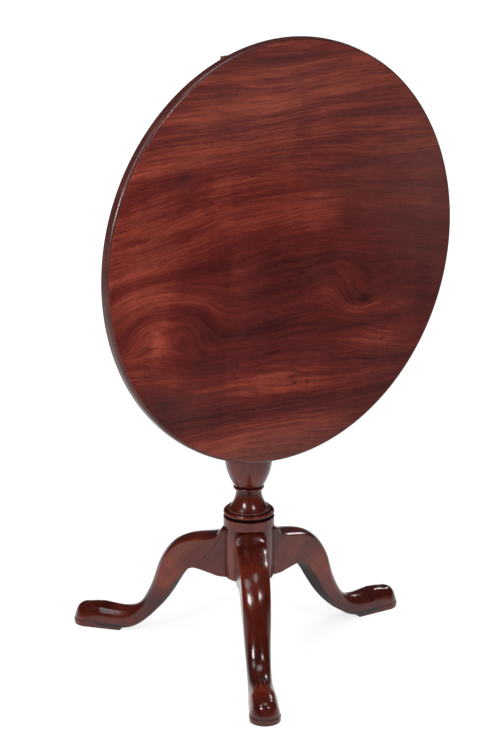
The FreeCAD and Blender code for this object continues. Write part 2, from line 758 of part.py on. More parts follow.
def build_leg(leg):
    """A cabriole leg, built along +X and turned about the pillar's axis to its place."""
    body = new_body(f"leg_{leg}")
    body.Placement = Placement(Vector(0, 0, 0), Rotation(Vector(0, 0, 1), 1))
    body.setExpression("Placement.Rotation.Angle", size(f"leg_angle_{leg}").text)
    reach = size(f"leg_reach_{leg}")
    run = reach - flat_x
    seat_z = size("pillar_rise") - size("strap_let_in")
    sections = []
    for number, shares in enumerate(LEG_SHARES, 1):
        crown = (flat_x + run * shares[0], leg_top_z * shares[1])
        under = (flat_x + run * shares[2], seat_z * shares[3])
        thick = size("leg_thick") * shares[4]
        high = slant(crown[0] - under[0], crown[1] - under[1])
        edge = (thick.half() * shares[5], high * shares[6])
        sections.append(leg_section(body, f"section_{number}", crown, under, thick, edge,
                                    shares[7], thick.half() * shares[8]))
    toe_x = reach - size("pad_width").half()
    toe_half = size("pad_width").half() - size("pad_ledge")
    sunk = size("stop_gap")
    toe_edge = (toe_half - size("toe_crown_radius"), size("toe_height") - size("pad_thick"))
    sections.append(leg_section(body, "section_toe", (toe_x, size("toe_height") - sunk),
                                (toe_x, size("pad_thick").half()), (toe_half - sunk) * 2,
                                toe_edge, TOE_FULL_SHARE, toe_half * TOE_UNDER_SHARE))
    doc.recompute()
    curve = body.newObject("PartDesign::AdditiveLoft", "cabriole")
    curve.Profile = sections[0]
    curve.Sections = sections[1:]
    compare(body, curve, 0, True)
    toe = new_sketch(body, "toe_half", "XZ_Plane", across=toe_x)
    draw_outline(toe, [
        (NONE, size("pad_thick").half()),
        (toe_half, size("pad_thick").half()),
        (toe_half, size("pad_thick"), size("toe_crown_radius") + toe_edge[0] * TOE_FULL_SHARE,
         size("pad_thick") + toe_edge[1] * TOE_FULL_SHARE),
        (size("toe_crown_radius"), size("toe_height")),
        (NONE, size("toe_height")),
    ])
    revolve(body, "Revolution", "toe", toe, "V_Axis")
    pad = new_sketch(body, "pad_outline", "XY_Plane")
    heel_x = reach - size("pad_length")
    heel = size("pad_heel_width").half()
    wide = size("pad_width").half()
    draw_outline(pad, [
        (heel_x, -heel),
        (toe_x, -wide, reach, NONE),
        (toe_x, wide),
        (heel_x, heel),
    ])
    extrude(body, "Pad", "sole_pad", pad, size("pad_thick"))
    tongue = new_sketch(body, "dovetail_outline", "XY_Plane", size("pillar_rise"))
    draw_dovetail(tongue, NONE, flat_x + size("overrun"))
    extrude(body, "Pad", "dovetail", tongue, size("dovetail_height") - size("dovetail_gap"))
    seat = new_sketch(body, "strap_box", "XY_Plane", size("pillar_rise"))
    half = size("strap_width").half() + size("glue_gap")
    draw_box(seat, NONE, size("strap_reach") + size("glue_gap"), -half, half)
    extrude(body, "Pocket", "strap_seat", seat, size("overrun"))
    bore = circles_at(body, "strap_screw_circle", "XY_Plane", size("pillar_rise"),
                      [(size("strap_screw_place"), NONE)], size("strap_screw_radius"))
    drill(body, "strap_screw_hole", bore, "strap_screw", strap_screw_bite(), reverse=True,
          sunk=False)
    return body


def build_strap():
    """A three-armed iron plate that holds the dovetails in, let into the legs' undersides."""
    body = new_body("leg_strap")
    low_z = size("pillar_rise") - size("strap_thick")
    half = size("strap_width").half()
    for leg in LEG_NAMES:
        arm = new_sketch(body, f"{leg}_arm_box", "XY_Plane", low_z)
        turn_sketch(arm, leg)
        draw_box(arm, -half, size("strap_reach"), -half, half)
        extrude(body, "Pad", f"{leg}_arm", arm, size("strap_thick"))
    centre = circles_at(body, "centre_circle", "XY_Plane", low_z, [(NONE, NONE)],
                        size("strap_width") * STRAP_MIDDLE_SHARE)
    extrude(body, "Pad", "centre", centre, size("strap_thick"))
    for leg in LEG_NAMES:
        bore = new_sketch(body, f"{leg}_screw_circle", "XY_Plane", low_z)
        turn_sketch(bore, leg)
        draw_circle(bore, size("strap_screw_place"), NONE, size("strap_screw_radius"))
        drill(body, f"{leg}_screw_hole", bore, "strap_screw", size("strap_thick") * 2,
              reverse=True)
    bore = circles_at(body, "centre_screw_circle", "XY_Plane", low_z, [(NONE, NONE)],
                      size("strap_screw_radius"))
    drill(body, "centre_screw_hole", bore, "strap_screw", size("strap_thick") * 2, reverse=True)
    return body


def build_catch_plate():
    body = new_body("catch_plate")
    outline = new_sketch(body, "plate_box", "XZ_Plane", -back_face_y)
    half = size("catch_plate_width").half()
    draw_box(outline, -half, half, case_front_z, case_front_z + size("catch_plate_length"))
    extrude(body, "Pad", "plate", outline, size("catch_plate_thick"), reverse=True)
    bores = circles_at(body, "screw_circles", "XZ_Plane", -plate_back_y,
                       catch_screw_places(), size("catch_screw_radius"))
    drill(body, "screw_holes", bores, "catch_screw", size("catch_plate_thick") * 2,
          reverse=True)
    return body


def build_catch_case():
    """The brass case in which the bolt slides, closed at its back, slotted for the knob."""
    body = new_body("catch_case")
    outline = new_sketch(body, "case_box", "XZ_Plane", -plate_back_y)
    half = size("catch_case_width").half()
    draw_box(outline, -half, half, case_front_z, case_back_z)
    extrude(body, "Pad", "case", outline, size("catch_case_height"), reverse=True)
    channel = new_sketch(body, "channel_box", "XY_Plane", case_back_z - size("catch_case_wall"))
    clearance = size("bolt_clearance")
    reach = size("bolt_width").half() + clearance
    draw_box(channel, -reach, reach, bolt_low_y - clearance, bolt_high_y + clearance)
    extrude(body, "Pocket", "channel", channel, size("catch_case_length") + size("overrun"))
    slot = new_sketch(body, "knob_slot_outline", "XZ_Plane", -bolt_high_y)
    half_slot = size("knob_stem_radius") + clearance
    high_z = knob_z + size("bolt_travel")
    draw_outline(slot, [
        (half_slot, knob_z),
        (half_slot, high_z, NONE, high_z + half_slot),
        (-half_slot, high_z),
        (-half_slot, knob_z, NONE, knob_z - half_slot),
    ])
    extrude(body, "Pocket", "knob_slot", slot, size("catch_case_height"))
    return body


def build_catch_bolt():
    """The bolt. Its nose slopes on the side that meets the keeper as the top comes down."""
    body = new_body("catch_bolt")
    side = new_sketch(body, "side", "YZ_Plane")
    draw_outline(side, [
        (bolt_low_y, bolt_nose_z),
        (bolt_low_y + size("bolt_thick") - size("bolt_nose"), bolt_nose_z),
        (bolt_high_y, bolt_nose_z + size("bolt_nose")),
        (bolt_high_y, bolt_tail_z),
        (bolt_low_y, bolt_tail_z),
    ])
    extrude(body, "Pad", "bar", side, size("bolt_width"), middle=True)
    bore = circles_at(body, "stem_circle", "XZ_Plane", -bolt_high_y, [(NONE, knob_z)],
                      size("knob_stem_radius") + size("screw_clearance"))
    extrude(body, "Pocket", "stem_hole", bore, size("bolt_thick").half(), reverse=True)
    return body


def build_catch_knob():
    """A waisted brass knob on a stem that goes through the case's slot into the bolt."""
    body = new_body("catch_knob")
    low_y = bolt_high_y - size("bolt_thick").half() + size("screw_clearance")
    seat_y = plate_back_y + size("catch_case_height") + size("bolt_clearance")
    top_y = seat_y + size("knob_height")
    stem = size("knob_stem_radius")
    radius = size("knob_radius")
    half = new_sketch(body, "knob_half", "YZ_Plane", up=knob_z)
    draw_outline(half, [
        (low_y, NONE),
        (low_y, stem),
        (seat_y, stem),
        (seat_y, size("knob_waist_radius"),
         between(seat_y, top_y, KNOB_WAIST_SHARES[0]), stem * KNOB_WAIST_SHARES[1]),
        (between(seat_y, top_y, KNOB_RING_SHARE), radius,
         between(seat_y, top_y, KNOB_HEAD_SHARES[0]), radius * KNOB_HEAD_SHARES[1]),
        (top_y, NONE),
    ])
    revolve(body, "Revolution", "knob", half, "H_Axis")
    return body


def build_catch_spring():
    """A coil spring between the bolt's tail and the case's back wall."""
    wire = size("spring_wire_radius")
    radius = size("spring_radius")
    gap = size("spring_seat_gap")
    low_z = bolt_tail_z + gap + wire
    high_z = case_back_z - size("catch_case_wall") - gap - wire
    height = high_z - low_z
    pitch = height.number / SPRING_TURNS
    centre_y = between(bolt_low_y, bolt_high_y, 0.5)
    helix = Part.makeHelix(pitch, height.number, radius.number)
    start = Vector(radius.number, 0, 0)
    circle = Part.Wire(Part.makeCircle(wire.number, start, Vector(0, 1, 0)))
    solid = Part.Wire(helix.Edges).makePipeShell([circle], True, True)
    solid.Placement = Placement(Vector(0, centre_y.number, low_z.number), Rotation())
    spring = doc.addObject("Part::Feature", "catch_spring")
    spring.Label = "catch_spring"
    spring.Shape = solid
    print("least gap between the spring's turns", pitch - wire.number * 2)
    return spring


def build_catch_keeper():
    body = new_body("catch_keeper")
    outline = new_sketch(body, "plate_box", "XZ_Plane", -block_far_y)
    half = size("keeper_width").half()
    draw_box(outline, -half, half, block_top_z - size("keeper_height"), block_top_z)
    extrude(body, "Pad", "plate", outline, size("keeper_thick"))
    slot = new_sketch(body, "slot_box", "XZ_Plane", -block_far_y)
    draw_box(slot, *keeper_slot())
    extrude(body, "Pocket", "slot", slot, size("keeper_thick") * 2, middle=True)
    bores = circles_at(body, "screw_circles", "XZ_Plane", -block_far_y, keeper_screw_places(),
                       size("keeper_screw_radius"))
    drill(body, "screw_holes", bores, "keeper_screw", size("keeper_thick") * 2, reverse=True)
    return body


def place_in_leg(out, leg, z):
    """A point this far out along the leg's own direction."""
    turned = Rotation(Vector(0, 0, 1), size(f"leg_angle_{leg}").number)
    return turned.multVec(Vector(out.number, 0, z.number))


def build_screws():
    away = Vector(0, 1, 0)
    head_y = back_face_y + size("bearer_screw_length") - size("bearer_screw_bite")
    places = bearer_screw_places(-1) + bearer_screw_places(1)
    bearer_places = [Vector(x.number, head_y.number, z.number) for x, z in places]
    catch_places = [Vector(x.number, plate_back_y.number, z.number)
                    for x, z in catch_screw_places()]
    keeper_places = [Vector(x.number, block_far_y.number, z.number)
                     for x, z in keeper_screw_places()]
    low_z = size("pillar_rise") - size("strap_thick")
    strap_places = [place_in_leg(size("strap_screw_place"), leg, low_z) for leg in LEG_NAMES]
    strap_places.append(Vector(0, 0, low_z.number))
    return [
        screw_group("bearer_screws", "bearer_screw", away, bearer_places),
        screw_group("catch_screws", "catch_screw", away, catch_places),
        screw_group("keeper_screws", "keeper_screw", away, keeper_places),
        screw_group("strap_screws", "strap_screw", Vector(0, 0, -1), strap_places),
    ]


pieces = [build_table_top(), build_bearer("bearer_left", -1), build_bearer("bearer_right", 1)]
pieces += [build_block(), build_pillar(), build_wedge()]
pieces += [build_leg(leg) for leg in LEG_NAMES]
pieces += [build_strap(), build_catch_plate(), build_catch_case(), build_catch_bolt()]
pieces += [build_catch_knob(), build_catch_spring(), build_catch_keeper()]
pieces += build_screws()
doc.recompute()

for item in doc.Objects:
    if "Invalid" in item.State or "Error" in item.State:
        raise ValueError(f"{item.Name} failed: {item.State}")
for piece in pieces:
    if piece.Shape.isNull() or not piece.Shape.isValid():
        raise ValueError(f"{piece.Label} is not a valid solid")
os.makedirs("parts", exist_ok=True)
for piece in pieces:
    piece.Shape.exportStep(f"parts/{piece.Label}.step")
    print(piece.Label, len(piece.Shape.Solids), round(piece.Shape.Volume))
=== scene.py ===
# Tilt-top tripod table in French-polished mahogany, its top tipped upright. The dictionaries
# of the pieces are in millimetres and degrees. Looks, the studio and meshes are in metres.
import math

import bmesh
import bpy
import numpy as np
from mathutils import Matrix, Vector


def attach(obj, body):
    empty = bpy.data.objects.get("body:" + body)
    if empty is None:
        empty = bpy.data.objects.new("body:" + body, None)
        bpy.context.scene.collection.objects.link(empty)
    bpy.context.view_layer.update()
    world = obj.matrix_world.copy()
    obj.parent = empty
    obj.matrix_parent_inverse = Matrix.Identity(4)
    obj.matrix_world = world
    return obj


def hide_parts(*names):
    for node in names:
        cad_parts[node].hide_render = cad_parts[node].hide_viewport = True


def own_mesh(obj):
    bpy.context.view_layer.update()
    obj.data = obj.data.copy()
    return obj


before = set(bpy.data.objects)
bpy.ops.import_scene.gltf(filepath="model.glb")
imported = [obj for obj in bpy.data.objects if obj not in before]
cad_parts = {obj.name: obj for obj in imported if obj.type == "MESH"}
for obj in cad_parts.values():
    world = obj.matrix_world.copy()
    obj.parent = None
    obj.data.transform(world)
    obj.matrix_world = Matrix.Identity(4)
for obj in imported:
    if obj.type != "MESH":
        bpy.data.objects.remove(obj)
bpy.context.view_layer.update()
print("frame loaded:", len(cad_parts), "nodes")

# A millimetre in metres, and how near two points of a mesh are when they count as one.
metre = 0.001
weld = 2e-6


# Puts an object that holds this data into the scene.
def addObject(name, data):
    made = bpy.data.objects.new(name, data)
    bpy.context.scene.collection.objects.link(made)
    return made


# The arc from start to end through via: the circle round the three points, run from the first
# angle to the last on the side where via lies.
def arcThrough(start, via, end, count):
    start, via, end = (np.array(point, float) for point in (start, via, end))
    rows = 2 * np.array([via - start, end - start])
    centre = np.linalg.solve(rows, [via @ via - start @ start, end @ end - start @ start])
    angles = [math.atan2(*(point - centre)[::-1]) for point in (start, via, end)]
    turn = (angles[2] - angles[0]) % math.tau
    if (angles[1] - angles[0]) % math.tau > turn:
        turn -= math.tau
    angle = angles[0] + np.linspace(0, turn, count)
    radius = np.linalg.norm(start - centre)
    return centre + radius * np.stack([np.cos(angle), np.sin(angle)], axis=-1)


# Points at start * (1 - t) + end * t, with t evenly from 0 to 1.
def straight(start, end, count):
    share = np.linspace(0, 1, count)[:, None]
    return np.array(start, float) * (1 - share) + np.array(end, float) * share


# How far each point of a line lies along it: the sum of the steps before it.
def runOf(line):
    return np.concatenate([[0], np.cumsum(np.linalg.norm(np.diff(line, axis=0), axis=1))])


# The points of a line at these distances along it.
def alongLine(line, places):
    run = runOf(line)
    return np.stack([np.interp(places, run, column) for column in line.T], axis=-1)


# Joins lines end to end and softens each corner between them by a short curve: (1-t)^2 of
# the point before the corner, 2t(1-t) of the corner and t^2 of the point after it. A line loses
# the cut at its ends, or 0.4 of its length where it is short.
def softened(lines, cut, closed=False):
    trimmed = []
    for number, line in enumerate(lines):
        length = runOf(line)[-1]
        short = min(cut, 0.4 * length)
        first = short if closed or number else 0
        last = length - short if closed or number < len(lines) - 1 else length
        trimmed.append(alongLine(line, np.linspace(first, last, len(line))))
    share = np.linspace(0, 1, 5)[1:-1, None]
    joined = []
    for number, line in enumerate(trimmed):
        joined.append(line)
        if not closed and number == len(lines) - 1:
            continue
        after = trimmed[(number + 1) % len(lines)][0]
        bend = (1 - share) ** 2 * line[-1] + 2 * share * (1 - share) * lines[number][-1]
        joined.append(bend + share**2 * after)
    return np.concatenate(joined)


# Quads between neighbouring points of a grid. A wrapped grid joins its last column to its first.
def gridFaces(rows, columns, wrap, first):
    row, column = np.meshgrid(np.arange(rows - 1), np.arange(columns - (not wrap)), indexing="ij")
    after = (column + 1) % columns
    corners = [row * columns + column, row * columns + after]
    corners += [(row + 1) * columns + after, (row + 1) * columns + column]
    return np.stack(corners, axis=-1).reshape(-1, 4) + first


# One mesh from grids of points, with seams and poles closed and faces turned outwards.
# Each grid is its points, whether it wraps, its material's number and its painted fields.
# Where the field "ease" is 1, the points are drawn halfway to the mean of their neighbours, 50
# times over.
def makePiece(name, grids, materials, body, cadNodes):
    points, faces, kinds, fields = [], [], [], {}
    count = 0
    for grid in grids:
        shape = grid["points"].shape
        points.append(grid["points"].reshape(-1, 3))
        faces.append(gridFaces(shape[0], shape[1], grid["wrap"], count))
        kinds.append(np.broadcast_to(grid.get("kind", 0), len(faces[-1])))
        for field, values in grid.get("fields", {}).items():
            size = values.shape[-1] if values.ndim == 3 else 1
            fields.setdefault(field, []).append(values.reshape(-1, size))
        count += shape[0] * shape[1]
    mesh = bpy.data.meshes.new(name)
    mesh.from_pydata(np.concatenate(points).tolist(), [], np.concatenate(faces).tolist())
    for field, values in fields.items():
        values = np.concatenate(values)
        single = values.shape[1] == 1
        layer = mesh.attributes.new(field, "FLOAT" if single else "FLOAT_VECTOR", "POINT")
        layer.data.foreach_set("value" if single else "vector", values.astype(np.float32).ravel())
    mesh.polygons.foreach_set("material_index", np.concatenate(kinds).astype(np.int32))
    form = bmesh.new()
    form.from_mesh(mesh)
    bmesh.ops.remove_doubles(form, verts=form.verts, dist=weld)
    bmesh.ops.dissolve_degenerate(form, dist=1e-7, edges=form.edges)
    bmesh.ops.recalc_face_normals(form, faces=form.faces)
    form.to_mesh(mesh)
    form.free()
    mesh.shade_smooth()
    for material in materials:
        mesh.materials.append(material)
    piece = addObject(name, mesh)
    if "ease" in fields:
        ease = np.empty(len(mesh.vertices), np.float32)
        mesh.attributes["ease"].data.foreach_get("value", ease)
        piece.vertex_groups.new(name="ease").add(np.flatnonzero(ease > 0.5).tolist(), 1, "REPLACE")
        soft = piece.modifiers.new("eased", "SMOOTH")
        soft.vertex_group, soft.factor, soft.iterations = "ease", 0.5, 50
    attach(piece, body)
    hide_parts(*cadNodes)
    print(name, len(mesh.polygons), "faces")


# A profile of radius and height turned about +Z: each of its points becomes a ring.
def turned(profile, count, limit=None):
    angle = np.linspace(0, math.tau, count, endpoint=False)
    radius, height = np.broadcast_arrays(profile[:, :1], profile[:, 1:] + 0 * angle)
    if limit is not None:
        radius = limit(radius, height, angle)
    return np.stack([radius * np.cos(angle), radius * np.sin(angle), height], axis=-1)


# Adds a node. Its settings come first, because some of them change its sockets. A socket's
# value is a plain one or another node's output.
def put(tree, kind, sockets=None, **settings):
    made = tree.nodes.new("ShaderNode" + kind)
    for key, value in settings.items():
        setattr(made, key, value)
    for key, value in (sockets or {}).items():
        if isinstance(value, bpy.types.NodeSocket):
            tree.links.new(value, made.inputs[key])
        else:
            made.inputs[key].default_value = value
    return made


# One step of arithmetic on numbers.
def maths(tree, operation, first, second=0.0, clamp=False):
    made = put(tree, "Math", {0: first, 1: second}, operation=operation, use_clamp=clamp)
    return made.outputs[0]


# The product of two numbers.
def times(tree, first, second, clamp=False):
    return maths(tree, "MULTIPLY", first, second, clamp)


# One step of arithmetic on vectors, axis by axis.
def vectors(tree, operation, first, second):
    return put(tree, "VectorMath", {0: first, 1: second}, operation=operation).outputs[0]


# A colour: first * (1 - share) + second * share.
def blended(tree, first, second, share):
    return put(tree, "Mix", {0: share, 6: first, 7: second}, data_type="RGBA").outputs[2]


# A number: low + (high - low) * share.
def between(tree, low, high, share):
    span = maths(tree, "SUBTRACT", high, low)
    return maths(tree, "ADD", low, times(tree, share, span))


# From 0 at low to 1 at high, with soft ends.
def ramped(tree, value, low, high):
    made = put(tree, "MapRange", {"Value": value, "From Min": low, "From Max": high},
               interpolation_type="SMOOTHSTEP")
    return made.outputs["Result"]


# Noise from 0 to 1, with stretch waves to the metre along each axis.
def noise(tree, vector, stretch, detail, rough, bend=0.0):
    made = put(tree, "TexNoise", {
        "Vector": vectors(tree, "MULTIPLY", vector, stretch),
        "Scale": 1.0, "Detail": detail, "Roughness": rough, "Distortion": bend,
    })
    return made.outputs["Fac"]


# A shader group, whose inputs and outputs are lists of names by kind. Build adds its nodes and
# says what each output gets.
def makeGroup(name, build, inputs, outputs):
    tree = bpy.data.node_groups.new(name, "ShaderNodeTree")
    kinds = {"number": "NodeSocketFloat", "colour": "NodeSocketColor", "vector": "NodeSocketVector"}
    for way, lists in (("INPUT", inputs), ("OUTPUT", outputs)):
        for kind, names in lists.items():
            for key in names:
                tree.interface.new_socket(key, in_out=way, socket_type=kinds[kind])
    gives = tree.nodes.new("NodeGroupOutput").inputs
    for key, made in build(tree, tree.nodes.new("NodeGroupInput").outputs).items():
        tree.links.new(made, gives[key])
    return tree


# Uses a group with those of the values whose names are its inputs. The other inputs stay at 0.
def useGroup(tree, group, values):
    inputs = [item.name for item in group.interface.items_tree if item.in_out == "INPUT"]
    sockets = {key: value for key, value in values.items() if key in inputs}
    return put(tree, "Group", sockets, node_tree=group).outputs


# A soft round patch: e to the power of minus the squared distance, measured in spreads.
def softPatch(tree, given):
    away = vectors(tree, "SUBTRACT", given["place"], given["centre"])
    away = vectors(tree, "DIVIDE", away, given["spread"])
    squared = put(tree, "VectorMath", {0: away, 1: away}, operation="DOT_PRODUCT").outputs["Value"]
    return {"mask": maths(tree, "EXPONENT", times(tree, squared, -1.0))}


patchGroup = makeGroup("softPatch", softPatch, {"vector": ["place", "centre", "spread"]},
                       {"number": ["mask"]})


# Bends the grain round a place: the grain is pushed by push times the soft patch there.
def grainSwirl(tree, given):
    mask = useGroup(tree, patchGroup, {key: given[key] for key in ("place", "centre", "spread")})
    push = put(tree, "VectorMath", {0: given["push"], "Scale": mask["mask"]}, operation="SCALE")
    return {"grain": vectors(tree, "ADD", given["grain"], push.outputs[0])}


swirlGroup = makeGroup("grainSwirl", grainSwirl, {
    "vector": ["grain", "place", "centre", "spread", "push"],
}, {"vector": ["grain"]})


# The layers of mahogany, its grain along X: waves to the metre along each axis, detail,
# roughness and bend.
figureLayers = {
    "bands": ((2, 12, 24), 3, 0.5, 0.2),
    "streaks": ((9, 150, 230), 4, 0.6, 0.15),
    "fibres": ((36, 560, 680), 2, 0.6, 0),
    "ripple": ((17, 4, 6), 3, 0.5, 0.4),
    "flecks": ((22, 260, 380), 2, 0.55, 0),
    "pores": ((190, 2300, 2300), 1, 0.5, 0),
}


# Mahogany: the sum of bands, streaks, fibres and ripple across the grain, each less a half and
# times its amount, runs from 0 to 1 through the three colours. Flecks and pores lie on top.
def mahoganyFigure(tree, given):
    layers = {key: noise(tree, given["grain"], *values) for key, values in figureLayers.items()}
    flecks = ramped(tree, layers["flecks"], 0.6, 0.72)
    pores = ramped(tree, layers["pores"], 0.62, 0.72)
    tone = maths(tree, "ADD", given["tone"], 0.5)
    for key in ("bands", "streaks", "fibres", "ripple"):
        swing = times(tree, maths(tree, "SUBTRACT", layers[key], 0.5), given[key])
        tone = maths(tree, "ADD", tone, swing)
    lower = times(tree, tone, 2.0, clamp=True)
    upper = maths(tree, "SUBTRACT", times(tree, tone, 2.0), 1.0, clamp=True)
    colour = blended(tree, given["dark"], given["middle"], lower)
    colour = blended(tree, colour, given["light"], upper)
    colour = blended(tree, colour, given["dark"], times(tree, flecks, given["flecks"]))
    holes = times(tree, pores, given["pores"])
    height = maths(tree, "SUBTRACT", times(tree, layers["fibres"], 0.4), holes)
    return {"colour": blended(tree, colour, (0.006, 0.002, 0.002, 1), holes), "height": height}


figureGroup = makeGroup("mahoganyFigure", mahoganyFigure, {
    "vector": ["grain"], "colour": ["dark", "middle", "light"],
    "number": ["tone"] + list(figureLayers),
}, {"colour": ["colour"], "number": ["height"]})


# What age does to a surface: dirt with painted shade where the recess lies deep, a haze of old
# wax and dust in clouds, and fine scratches that only change the gloss.
def ageing(tree, given):
    clouds = noise(tree, given["place"], (14, 14, 14), 4, 0.6, 0.3)
    scratches = noise(tree, given["place"], (320, 60, 90), 3, 0.7, 1.2)
    haze = times(tree, ramped(tree, clouds, 0.4, 0.75), given["haze"])
    colour = blended(tree, given["colour"], given["dust"], haze)
    # Painted shade, with dirt: the colour goes near black where the recess lies deep.
    shadeAndGrime = times(tree, given["recess"], given["dirtAndShade"], clamp=True)
    worn = maths(tree, "ADD", times(tree, clouds, 0.5), times(tree, scratches, 0.5))
    worn = maths(tree, "ADD", ramped(tree, worn, 0.35, 0.7), shadeAndGrime, clamp=True)
    return {"colour": blended(tree, colour, (0.004, 0.002, 0.002, 1), shadeAndGrime),
            "roughness": between(tree, given["smooth"], given["rough"], worn)}


ageGroup = makeGroup("ageing", ageing, {
    "vector": ["place"], "colour": ["colour", "dust"],
    "number": ["recess", "dirtAndShade", "haze", "smooth", "rough"],
}, {"colour": ["colour"], "number": ["roughness"]})


# Metal that has aged: tarnish in clouds, dark in small pits, and bright where it is rubbed.
def tarnish(tree, given):
    clouds = ramped(tree, noise(tree, given["place"], (70, 70, 70), 4, 0.6, 0.4), 0.35, 0.7)
    pits = noise(tree, given["place"], (900, 900, 900), 3, 0.65)
    dull = maths(tree, "MAXIMUM", clouds, ramped(tree, pits, 0.58, 0.7))
    dull = times(tree, dull, given["amount"])
    return {"colour": blended(tree, given["bright"], given["dull"], dull),
            "roughness": between(tree, given["smooth"], given["rough"], dull),
            "height": times(tree, pits, given["grain"])}


tarnishGroup = makeGroup("tarnish", tarnish, {
    "vector": ["place"], "colour": ["bright", "dull"],
    "number": ["amount", "grain", "smooth", "rough"],
}, {"colour": ["colour"], "number": ["roughness", "height"]})
print("shader groups made")


# The turn of grain that runs upright.
upright = (0, math.pi / 2, 0)


# The shader tree of a material or a world, emptied.
def emptyTree(owner):
    owner.use_nodes = True
    owner.node_tree.nodes.clear()
    return owner.node_tree


# A material with one surface, whose constants are given here.
def startMaterial(name, constants):
    material = bpy.data.materials.new(name)
    tree = emptyTree(material)
    surface = put(tree, "BsdfPrincipled", constants)
    put(tree, "OutputMaterial", {"Surface": surface.outputs[0]})
    return material, tree, surface.inputs


# Gives a surface its colour and roughness, and its relief: height times depth, in metres.
def coat(tree, surface, colour, roughness, height, depth):
    relief = put(tree, "Bump", {"Height": height, "Distance": depth})
    tree.links.new(colour, surface["Base Color"])
    tree.links.new(roughness, surface["Roughness"])
    tree.links.new(relief.outputs[0], surface["Normal"])


# The polished face of the top.
topFace = {
    "specular": 0.08, "tone": -0.05, "relief": 0.00006, "fibres": 0.5, "ripple": 0.4,
    "bands": 1.0, "flecks": 0.65, "pores": 0.4, "haze": 0.1, "smooth": 0.2, "rough": 0.34,
    "dark": (0.032, 0.0026, 0.0025, 1), "middle": (0.119, 0.014, 0.0106, 1),
    "light": (0.325, 0.058, 0.032, 1), "dust": (0.1, 0.03, 0.026, 1),
    # the grey of the painted reflection that veils parts of the face
    "veil": (0.105, 0.046, 0.041, 1),
    # how the grain wanders, slowly and quickly: waves to the metre, and reach in metres
    "drifts": [((2.8, 0, 6.5), 0.042), ((12, 0, 40), 0.006)],
    # how far the grain falls for each length to the right
    "fall": 0.05,
    # centre x and z, spread x and z, push up
    "swirls": [
        (70, 800, 300, 140, -62), (-280, 690, 100, 62, -66), (-195, 665, 45, 40, -22),
        (160, 655, 60, 42, 30), (110, 690, 50, 40, -16), (60, 500, 260, 50, 22),
        (300, 560, 120, 60, 30), (-50, 420, 170, 50, -30), (-120, 900, 160, 60, -12),
        (240, 900, 120, 50, 18),
    ],
    # centre x and z, spread x and z, lighter by
    "lights": [
        (0, 1040, 330, 80, 0.2), (-40, 1010, 170, 26, 0.16), (-310, 770, 80, 150, 0.24),
        (-268, 640, 18, 24, 0.36), (-200, 700, 60, 20, 0.12), (220, 900, 160, 90, 0.12),
        (245, 940, 50, 8, 0.2), (-107, 725, 18, 36, 0.18), (60, 815, 45, 40, 0.18),
        (100, 560, 200, 13, 0.14), (220, 575, 75, 22, 0.2), (245, 620, 45, 8, 0.22),
        (20, 538, 100, 9, 0.2), (-240, 568, 30, 12, 0.14), (-60, 510, 180, 16, 0.06),
        (-60, 545, 120, 6, 0.12), (-80, 425, 200, 34, 0.22), (-200, 920, 160, 60, 0.1),
        (130, 690, 22, 14, 0.14), (185, 632, 35, 6, 0.18),
    ],
    # the same, darker by
    "darks": [
        (-30, 680, 120, 70, 0.2), (-30, 775, 150, 55, 0.13), (-40, 488, 280, 22, 0.11),
        (-285, 520, 60, 50, 0.2), (-60, 635, 180, 14, 0.12), (170, 645, 10, 6, 0.5),
        (135, 650, 40, 14, 0.12), (210, 690, 90, 40, 0.14), (130, 934, 150, 9, 0.26),
        (140, 885, 110, 7, 0.24), (135, 806, 22, 30, 0.24), (40, 1083, 120, 6, 0.3),
        (20, 1031, 50, 6, 0.22), (-130, 980, 160, 4, 0.24), (-310, 822, 45, 7, 0.22),
        (-270, 1000, 60, 4, 0.18), (-80, 993, 80, 3, 0.2), (80, 1003, 70, 3, 0.2),
        (180, 972, 90, 4, 0.2), (250, 915, 60, 5, 0.18), (-120, 860, 110, 4, 0.14),
        (160, 600, 120, 4, 0.16), (40, 970, 16, 30, 0.1), (60, 600, 280, 16, 0.14),
        (-200, 600, 140, 12, 0.14), (330, 640, 80, 110, 0.2), (120, 545, 260, 50, 0.08),
        (230, 480, 80, 50, 0.22), (15, 522, 4, 2, 0.7), (42, 519, 3, 2, 0.55),
        (210, 566, 5, 2, 0.5), (-210, 915, 12, 7, 0.24),
    ],
    # how strong the streaks are, and where they are stronger, and by how much
    "calm": 0.72,
    "lively": [(0, 1030, 450, 140, 0.65), (0, 460, 450, 100, 0.45)],
    # where grey painted reflection of the pale surroundings lies on the polish, with old wax bloom
    "veils": [
        (350, 830, 130, 200, 0.46), (0, 1040, 340, 120, 0.38), (180, 860, 140, 100, 0.18),
        (-60, 395, 260, 55, 0.55), (280, 500, 120, 70, 0.12), (-240, 520, 100, 50, 0.2),
    ],
}
